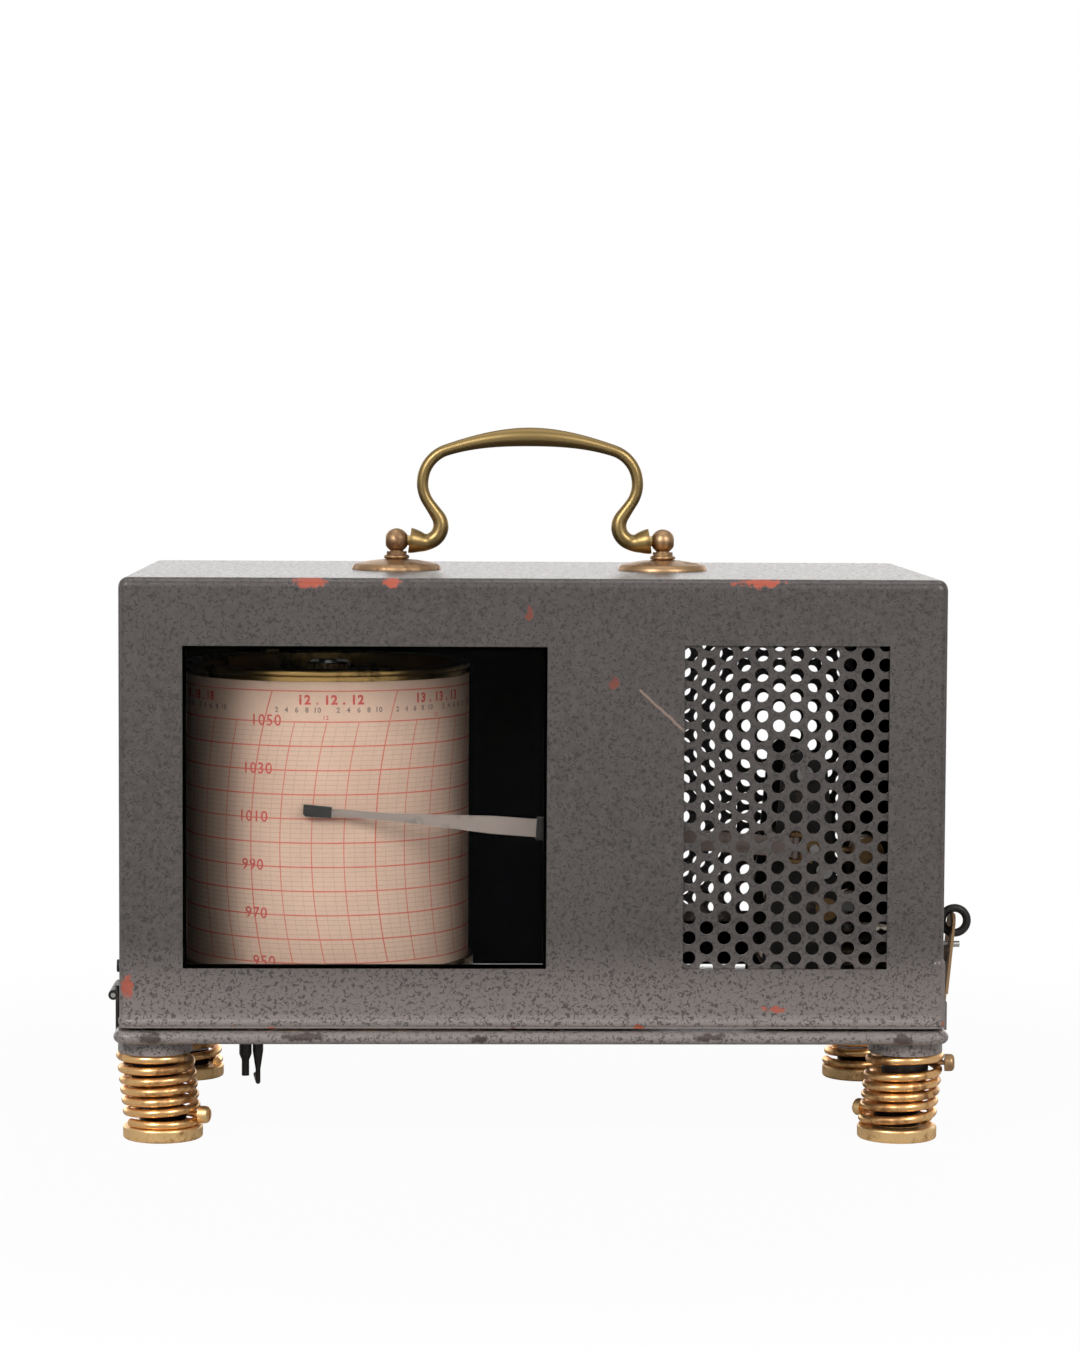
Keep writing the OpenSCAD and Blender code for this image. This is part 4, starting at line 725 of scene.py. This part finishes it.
def make_spring(corner):
    """Helix: flat on the disc and under the boss, over its own ends, and evenly up between."""
    side, depth, first, last, lead, tail, settle = SPRING_PLACES[corner]
    low = DISC_T + WIRE_D / 2.0
    high = BOSS_Z - WIRE_D / 2.0 * WIRE_SEAT - 0.05
    over, end_over, end_under = WIRE_D + 1.75, WIRE_D + 0.6, WIRE_D + 0.45
    stop = lead + 5.0 + (last - first) % 360.0 / 360.0
    climb = (high - low - 2.0 * over) / (stop - lead - 2.0)
    upper = high - max(over + climb * (1.0 - tail), 2.0 * end_under)
    # turns from the lower end, and the wire's height there
    knots = (
        (0.0, low),
        (lead, low),
        (1.0, low + end_over),
        (lead + 1.0, low + over),
        (stop - 2.0 + tail, upper),
        (stop - 1.0, high - over),
        (stop - 1.0 + tail, high - end_under),
        (stop - settle, high),
        (stop + tail + 1e-6, high),
    )
    turns = np.linspace(0.0, stop + tail, 460)
    rise = np.interp(turns, *zip(*knots))
    kernel = np.hanning(17)
    rise = np.convolve(np.pad(rise, 8, mode="edge"), kernel / kernel.sum(), mode="valid")
    lean = FOOT_X + FOOT_LEAN * (rise - low) / (high - low)
    angle = np.radians(first + (turns - lead) * 360.0)
    right = SPRING_R * np.cos(angle) + side * lean
    away = SPRING_R * np.sin(angle) + depth * FOOT_Y
    line = np.stack([right, away, rise], axis=1)
    back = np.array([math.sin(angle[0]), -math.cos(angle[0]), 0.0])
    straight = line[0] + WIRE_D * np.array([1.0, 0.66, 0.33])[:, None] * back
    line = np.vstack([straight, line])
    line[:, 0] += SHIFT_X
    radius = WIRE_D / 2.0 * 0.97
    return tube(f"spring_wire_{corner}", line, radius, (0.0, 0.0, 1.0), 20, FINISH["spring_brass"])


# Chart

def make_chart():
    """Paper sleeve: the thin rectangle of its section turned round the drum's axis."""
    inner = CHART_R - 0.3
    profile = [(inner, CHART_LOW), (CHART_R, CHART_LOW), (CHART_R, CHART_HIGH), (inner, CHART_HIGH)]
    return lathe("chart_sleeve", profile, (DRUM_X, 0.0, 0.0), 256, FINISH["chart_print"])


def wrap_text(words, size, angle, height, weight):
    """Points and triangles of a word laid round the drum, just proud of the paper."""
    curve = bpy.data.curves.new("word", "FONT")
    curve.body = words
    curve.size = size
    curve.align_x = "CENTER"
    curve.align_y = "CENTER"
    curve.resolution_u = 3
    curve.space_character = 1.12
    curve.offset = weight
    flat = bpy.data.objects.new("word", curve)
    bpy.context.scene.collection.objects.link(flat)
    bpy.context.view_layer.update()
    mesh = bpy.data.meshes.new_from_object(flat)
    bpy.data.objects.remove(flat)
    bpy.data.curves.remove(curve)
    mesh.calc_loop_triangles()
    points = np.zeros(len(mesh.vertices) * 3)
    mesh.vertices.foreach_get("co", points)
    points = points.reshape(-1, 3)
    triangles = np.zeros(len(mesh.loop_triangles) * 3, dtype=int)
    mesh.loop_triangles.foreach_get("vertices", triangles)
    bpy.data.meshes.remove(mesh)
    turn = math.radians(angle) + points[:, 0] / CHART_R
    radius = CHART_R + 0.03
    right, away = DRUM_X + radius * np.sin(turn), -radius * np.cos(turn)
    wrapped = np.stack([right, away, height + points[:, 1]], axis=1)
    return wrapped * MM, triangles.reshape(-1, 3)


def make_numbers(words, name, material):
    """Words on the chart in one mesh, each given as text, size, angle, height and weight."""
    pieces = [wrap_text(*word) for word in words]
    firsts = np.cumsum([0] + [len(points) for points, _ in pieces])
    points = np.vstack([points for points, _ in pieces])
    faces = np.vstack([triangles + first for (_, triangles), first in zip(pieces, firsts)])
    return mesh_piece(name, points, faces, material, smooth=False)


def bow_angle(height):
    """Degrees by which the pen's arc has moved along the drum at a height."""
    return math.degrees((ARC_R - math.sqrt(ARC_R ** 2 - (height - ARC_Z) ** 2)) / CHART_R)


def red_words():
    """Scale numbers every twenty units at two places, and a plain number in each day's header."""
    words = []
    for start in (DAY_START, DAY_START + 4.0 * DAY_DEGREES):
        for value in range(950, 1051, 20):
            height = MARK_LOW + MARK_UNIT * (value - 950)
            words.append((str(value), 5.0, start + 0.6 + bow_angle(height), height + 0.2, 0.05))
    for day in range(DAYS):
        middle = DAY_START + (day + 0.5) * DAY_DEGREES
        date = " . ".join([str(day + 12)] * 3)
        words.append((date, 4.1, middle + bow_angle(138.3), 138.2, 0.16))
        words.append(("12", 1.8, middle + bow_angle(132.6), 132.6, 0.03))
    return words


def grey_words():
    """Hour numbers of each half day in a row under the header."""
    words = []
    row = 135.0
    for half_day in range(2 * DAYS):
        for hour in (2, 4, 6, 8, 10):
            angle = DAY_START + (12 * half_day + hour) / 24.0 * DAY_DEGREES
            words.append((str(hour), 2.3, angle + bow_angle(row), row, 0.06))
    return words


# Finishes

FINISH = {}

# Bright and dull colour, roughness, squeeze of the fine marks, then spread and scale of the
# tarnish, depth of the marks, and a function that changes the colour in places
METALS = {
    "bright_brass": ((0.56, 0.41, 0.17), (0.24, 0.155, 0.065), 0.26, (1.0, 1.0, 0.1), 0.5, 60.0),
    "bail_brass": (
        (0.31, 0.215, 0.088), (0.25, 0.172, 0.07), 0.32, (1.0, 1.0, 1.0), 0.42, 30.0, 0.015
    ),
    "aged_brass": ((0.44, 0.28, 0.15), (0.24, 0.14, 0.08), 0.36, (0.2, 0.2, 1.0), 0.6, 80.0, 0.05),
    "spring_brass": ((0.96, 0.58, 0.25), (0.33, 0.155, 0.06), 0.24, (1.0, 1.0, 1.0), 0.6, 75.0),
    "foot_brass": (
        (0.96, 0.66, 0.32), (0.40, 0.22, 0.09), 0.34, (0.15, 0.15, 1.0), 0.6, 75.0, 0.12, dark_plug
    ),
    "drum_brass": (
        (0.34, 0.21, 0.075), (0.085, 0.047, 0.018), 0.25, (0.1, 0.1, 1.0), 0.56, 50.0, 0.05
    ),
    "works_brass": ((0.24, 0.15, 0.07), (0.09, 0.05, 0.03), 0.36, (0.2, 0.2, 1.0), 0.6, 90.0),
    "bright_steel": ((0.5, 0.49, 0.47), (0.2, 0.17, 0.14), 0.28, (0.3, 0.3, 1.0), 0.45, 90.0),
    "capsule_alloy": ((0.52, 0.46, 0.36), (0.25, 0.2, 0.14), 0.3, (0.2, 0.2, 1.0), 0.45),
    "pen_alloy": ((0.29, 0.235, 0.21), (0.22, 0.18, 0.155), 0.45, (1.0, 1.0, 0.2), 0.5, 60.0, 0.05),
}


def make_finishes():
    """Every material, by the name of the finish."""
    half_high = (HOOD_TOP - HOOD_LOW) / 2.0
    hood_centre = (SHIFT_X * MM, 0.0, (HOOD_LOW + half_high) * MM)
    hood_half = (HOOD_HALF_W * MM, HOOD_HALF_D * MM, half_high * MM)
    base_centre = (SHIFT_X * MM, 0.0, 34.0 * MM)
    base_half = (131.2 * MM, 70.5 * MM, 2.0 * MM)
    # a box far larger than the grilles, so that none of their edges counts as worn or gets the
    # painted edge highlight
    far_box = (0.2, 0.2, 0.2)
    FINISH["hood_paint"] = hammered_paint(
        "hood_paint", PAINT_GREY, PRIMER_RED, hood_centre, hood_half, 0.0, HOOD_MARKS, hood_details
    )
    FINISH["grille_paint"] = hammered_paint(
        "grille_paint",
        [part * 0.85 for part in PAINT_GREY],
        PRIMER_RED,
        hood_centre,
        far_box,
        -0.3,
    )
    FINISH["base_paint"] = hammered_paint(
        "base_paint", PAINT_GREY, WORM_DARK, base_centre, base_half, -0.01, BASE_MARKS, dark_cores
    )
    FINISH["works_paint"] = black_metal("works_paint", WORM_DARK, 0.5)
    FINISH["dark_steel"] = black_metal("dark_steel", (0.03, 0.028, 0.027), 0.38)
    for name, values in METALS.items():
        FINISH[name] = metal(name, *values)
    FINISH["window_pane"] = glass_material()
    FINISH["chart_print"] = chart_material()
    FINISH["red_ink"] = ink_material("red_ink", (0.66, 0.10, 0.08))
    FINISH["grey_ink"] = ink_material("grey_ink", (0.26, 0.17, 0.14))


NODE_FINISH = {
    "hood_paint": ["hood_shell"],
    "grille_paint": ["front_grille", "rear_grille"],
    "base_paint": ["base_plate", "foot_bosses", "latch_bracket"],
    "works_paint": ["front_upright", "rear_upright"],
    "bright_brass": ["bail_pins"],
    "works_brass": [
        "bearing_bushes", "fixed_gear", "clock_case", "link_crank", "pen_yoke", "main_lever",
        "setting_nut", "drum_nut", "frame_pillars", "counterweight",
    ],
    "aged_brass": ["handle_rosettes", "handle_posts", "foot_top_screws", "latch_strap"],
    "drum_brass": ["drum_shell", "drum_rim", "chart_clip"],
    "foot_brass": ["foot_disc_fl", "foot_disc_fr", "foot_disc_rl", "foot_disc_rr"],
    "bright_steel": [
        "hinge_pins", "frame_screws", "drum_spindle", "capsule_post", "post_nuts", "latch_stud",
        "clock_pinion", "winding_key", "pen_arbor", "link_rod", "capsule_stud",
    ],
    "dark_steel": [
        "hinge_base_leaves", "hinge_hood_leaves", "hinge_screws", "window_frame", "latch_ring",
        "pen_clip", "pen_nib", "pen_lifter", "lifter_stop",
    ],
    "capsule_alloy": ["capsule_stack"],
    "pen_alloy": ["pen_carrier", "pen_strip"],
    "window_pane": ["window_glass"],
}


def paint_nodes():
    """Gives every shown CAD node its finish."""
    for finish, names in NODE_FINISH.items():
        for name in names:
            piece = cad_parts[name]
            if not piece.material_slots:
                piece.data.materials.append(FINISH[finish])
            for material_slot in piece.material_slots:
                material_slot.material = FINISH[finish]


# Stage

def make_camera():
    """Pinhole fitted to the hood, window, grille and feet: heading, dip and roll in radians."""
    yaw, pitch, roll = 0.0255, 0.0704, 0.0052
    level = math.cos(pitch)
    forward = np.array([math.sin(yaw) * level, math.cos(yaw) * level, -math.sin(pitch)])
    right = np.array([math.cos(yaw), -math.sin(yaw), 0.0])
    up = np.cross(right, forward)
    turned_right = math.cos(roll) * right + math.sin(roll) * up
    turned_up = -math.sin(roll) * right + math.cos(roll) * up
    data = bpy.data.cameras.new("view")
    data.sensor_fit = "HORIZONTAL"
    data.sensor_width = 36.0
    data.lens = FOCAL_PX * data.sensor_width / PHOTO_W
    data.clip_start = 0.05
    camera = bpy.data.objects.new("view", data)
    matrix = Matrix.Identity(4)
    for row in range(3):
        matrix[row][0] = turned_right[row]
        matrix[row][1] = turned_up[row]
        matrix[row][2] = -forward[row]
        matrix[row][3] = EYE[row] * MM
    camera.matrix_world = matrix
    bpy.context.scene.collection.objects.link(camera)
    bpy.context.scene.camera = camera


def seen_directly(tree):
    """Two masks: rays that show the plain white background, and glossy rays."""
    path = tree.nodes.new("ShaderNodeLightPath").outputs
    # light that falls through the pane on a piece is the room's, and not the background's
    through = calc(
        tree,
        "MULTIPLY",
        path["Is Transmission Ray"],
        calc(tree, "LESS_THAN", path["Diffuse Depth"], 0.5),
    )
    shown = calc(tree, "MAXIMUM", path["Is Camera Ray"], through)
    return shown, path["Is Glossy Ray"]


def make_world(level, mirrored):
    """Even light from all round, a brighter room in reflections, and white for direct views."""
    world = bpy.data.worlds.new("room")
    world.use_nodes = True
    tree = world.node_tree
    tree.nodes.clear()
    shown, glossy = seen_directly(tree)
    direction = tree.nodes.new("ShaderNodeTexCoord").outputs["Generated"]
    way = place(tree, "ShaderNodeSeparateXYZ", {0: direction})
    low = ease(tree, way.outputs[2], 0.6, 0.1)
    behind = calc(tree, "MULTIPLY", ease(tree, way.outputs[1], 0.45, 0.95), low)
    bright_wall = 2.3
    mirror = calc(tree, "MULTIPLY_ADD", behind, bright_wall - mirrored, mirrored)
    strength = calc(tree, "MULTIPLY_ADD", glossy, calc(tree, "SUBTRACT", mirror, level), level)
    warm_white = (1.0, 0.985, 0.98, 1.0)
    light = place(tree, "ShaderNodeBackground", {"Color": warm_white, "Strength": strength})
    white = place(tree, "ShaderNodeBackground", {"Color": rgba([1.0] * 3), "Strength": 1.0})
    mixed = place(tree, "ShaderNodeMixShader", {0: shown, 1: light.outputs[0], 2: white.outputs[0]})
    end = tree.nodes.new("ShaderNodeOutputWorld")
    tree.links.new(mixed.outputs[0], end.inputs[0])
    bpy.context.scene.world = world


def make_floor():
    """Plain pale floor that fades to white away from the object and keeps its shadow."""
    material, tree, shader, coords = new_material("floor_white")
    grain = noise(tree, coords, 40.0, 2.0)
    feed(tree, shader, "Base Color", mix(tree, grain, rgba([0.66] * 3), rgba([0.68] * 3)))
    feed(tree, shader, "Roughness", 0.9)
    feed(tree, shader, "Specular IOR Level", 0.0)
    shown, _ = seen_directly(tree)
    far = vec(tree, "LENGTH", coords).outputs["Value"]
    share = calc(tree, "MULTIPLY", shown, ease(tree, far, 0.2, 0.4, 0.96, 1.0))
    glow = place(tree, "ShaderNodeEmission", {"Color": rgba([1.0] * 3), "Strength": 1.0})
    mixed = place(tree, "ShaderNodeMixShader", {0: share, 1: shader.outputs[0], 2: glow.outputs[0]})
    end = next(node for node in tree.nodes if node.bl_idname == "ShaderNodeOutputMaterial")
    tree.links.new(mixed.outputs[0], end.inputs[0])
    corners = ((-1.0, -1.0), (1.0, -1.0), (1.0, 1.0), (-1.0, 1.0))
    half_size = 6.0
    points = np.array([(half_size * x, half_size * y, 0.0) for x, y in corners])
    floor = mesh_piece("floor", points, [[0, 1, 2, 3]], material)


def area_light(name, place_at, size, power):
    """A soft lamp of that width and height, which points at the object."""
    data = bpy.data.lights.new(name, "AREA")
    data.shape = "RECTANGLE"
    data.size, data.size_y = size
    data.energy = power
    lamp = bpy.data.objects.new(name, data)
    lamp.location = place_at
    direction = Matrix.Identity(3)
    away = np.array(place_at) - np.array(LAMP_AIM)
    away /= np.linalg.norm(away)
    side = np.cross((0.0, 0.0, 1.0), away)
    side /= np.linalg.norm(side)
    over = np.cross(away, side)
    for row in range(3):
        direction[row] = (side[row], over[row], away[row])
    lamp.rotation_euler = direction.to_euler()
    bpy.context.scene.collection.objects.link(lamp)
    return lamp


def make_lights(power):
    """A tall lamp at each side of the front, a weak one above, and one behind for the back."""
    area_light("front_left", (-0.8, -1.35, 1.0), (0.45, 0.7), 16.2 * power)
    area_light("front_right", (0.85, -1.35, 0.95), (0.45, 0.7), 11.3 * power)
    area_light("above", (0.0, 0.1, 1.5), (1.2, 1.0), 3.5 * power)
    rear = area_light("behind", (0.2, 1.5, 0.9), (1.2, 0.8), 12.0 * power)
    # the top would mirror this lamp in the photograph's view, so it only lights the back
    rear.visible_glossy = False


# Add-on classes

class RecorderLooks(bpy.types.PropertyGroup):
    """Levels of light that a user would change."""

    lamp_power: bpy.props.FloatProperty(
        name="Lamp power", description="Strength of all lamps together", default=1.0, min=0.0)
    room_level: bpy.props.FloatProperty(
        name="Room light", description="Strength of the even light", default=0.1, min=0.0)
    mirror_level: bpy.props.FloatProperty(
        name="Room in reflections", description="Room's brightness in shiny surfaces",
        default=0.5, min=0.0)


class RECORDER_OT_finishes(bpy.types.Operator):
    """Makes the materials and gives the CAD nodes theirs"""

    bl_idname = "recorder.finishes"
    bl_label = "Finishes"

    def execute(self, context):
        make_finishes()
        paint_nodes()
        return {"FINISHED"}


class RECORDER_OT_bail(bpy.types.Operator):
    """Makes the swan-neck bail"""

    bl_idname = "recorder.bail"
    bl_label = "Bail"

    def execute(self, context):
        piece = make_bail()
        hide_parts("handle_bail")
        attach(piece, "bail")
        # the record has one slot for the handle's brass, and the bail is its darker piece
        return {"FINISHED"}


class RECORDER_OT_springs(bpy.types.Operator):
    """Makes the four foot springs"""

    bl_idname = "recorder.springs"
    bl_label = "Foot springs"

    def execute(self, context):
        for corner, (side, depth, *_) in SPRING_PLACES.items():
            piece = make_spring(corner)
            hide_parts(f"foot_spring_{corner}")
            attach(piece, "base")
            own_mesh(piece)
        return {"FINISHED"}


class RECORDER_OT_chart(bpy.types.Operator):
    """Makes the chart and its plain numbers"""

    bl_idname = "recorder.chart"
    bl_label = "Chart"

    def execute(self, context):
        sleeve = make_chart()
        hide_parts("chart_paper")
        scale = make_numbers(red_words(), "chart_numbers", FINISH["red_ink"])
        hours = make_numbers(grey_words(), "chart_hours", FINISH["grey_ink"])
        for piece in (sleeve, scale, hours):
            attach(piece, "drum")
        return {"FINISHED"}


class RECORDER_OT_stage(bpy.types.Operator):
    """Makes the camera, lamps, room light and floor"""

    bl_idname = "recorder.stage"
    bl_label = "Stage"

    def execute(self, context):
        looks = context.scene.recorder_looks
        make_camera()
        make_world(looks.room_level, looks.mirror_level)
        make_floor()
        make_lights(looks.lamp_power)
        context.scene.view_settings.view_transform = "Standard"
        return {"FINISHED"}


class RECORDER_PT_panel(bpy.types.Panel):
    """Lists the pieces and what can be changed"""

    bl_label = "Drum recorder"
    bl_idname = "RECORDER_PT_panel"
    bl_space_type = "VIEW_3D"
    bl_region_type = "UI"
    bl_category = "Recorder"

    def draw(self, context):
        for name in STEPS:
            self.layout.operator("recorder." + name)
        for prop in ("lamp_power", "room_level", "mirror_level"):
            self.layout.prop(context.scene.recorder_looks, prop)


STEPS = ("finishes", "bail", "springs", "chart", "stage")
CLASSES = (
    RecorderLooks, RECORDER_OT_finishes, RECORDER_OT_bail, RECORDER_OT_springs,
    RECORDER_OT_chart, RECORDER_OT_stage, RECORDER_PT_panel,
)


def register():
    """Adds the classes and the scene's property."""
    for cls in CLASSES:
        bpy.utils.register_class(cls)
    bpy.types.Scene.recorder_looks = bpy.props.PointerProperty(type=RecorderLooks)


def unregister():
    """Takes the classes away again."""
    del bpy.types.Scene.recorder_looks
    for cls in reversed(CLASSES):
        bpy.utils.unregister_class(cls)


def main():
    """Runs every step in order."""
    register()
    for name in STEPS:
        getattr(bpy.ops.recorder, name)()


if __name__ == "__main__":
    main()
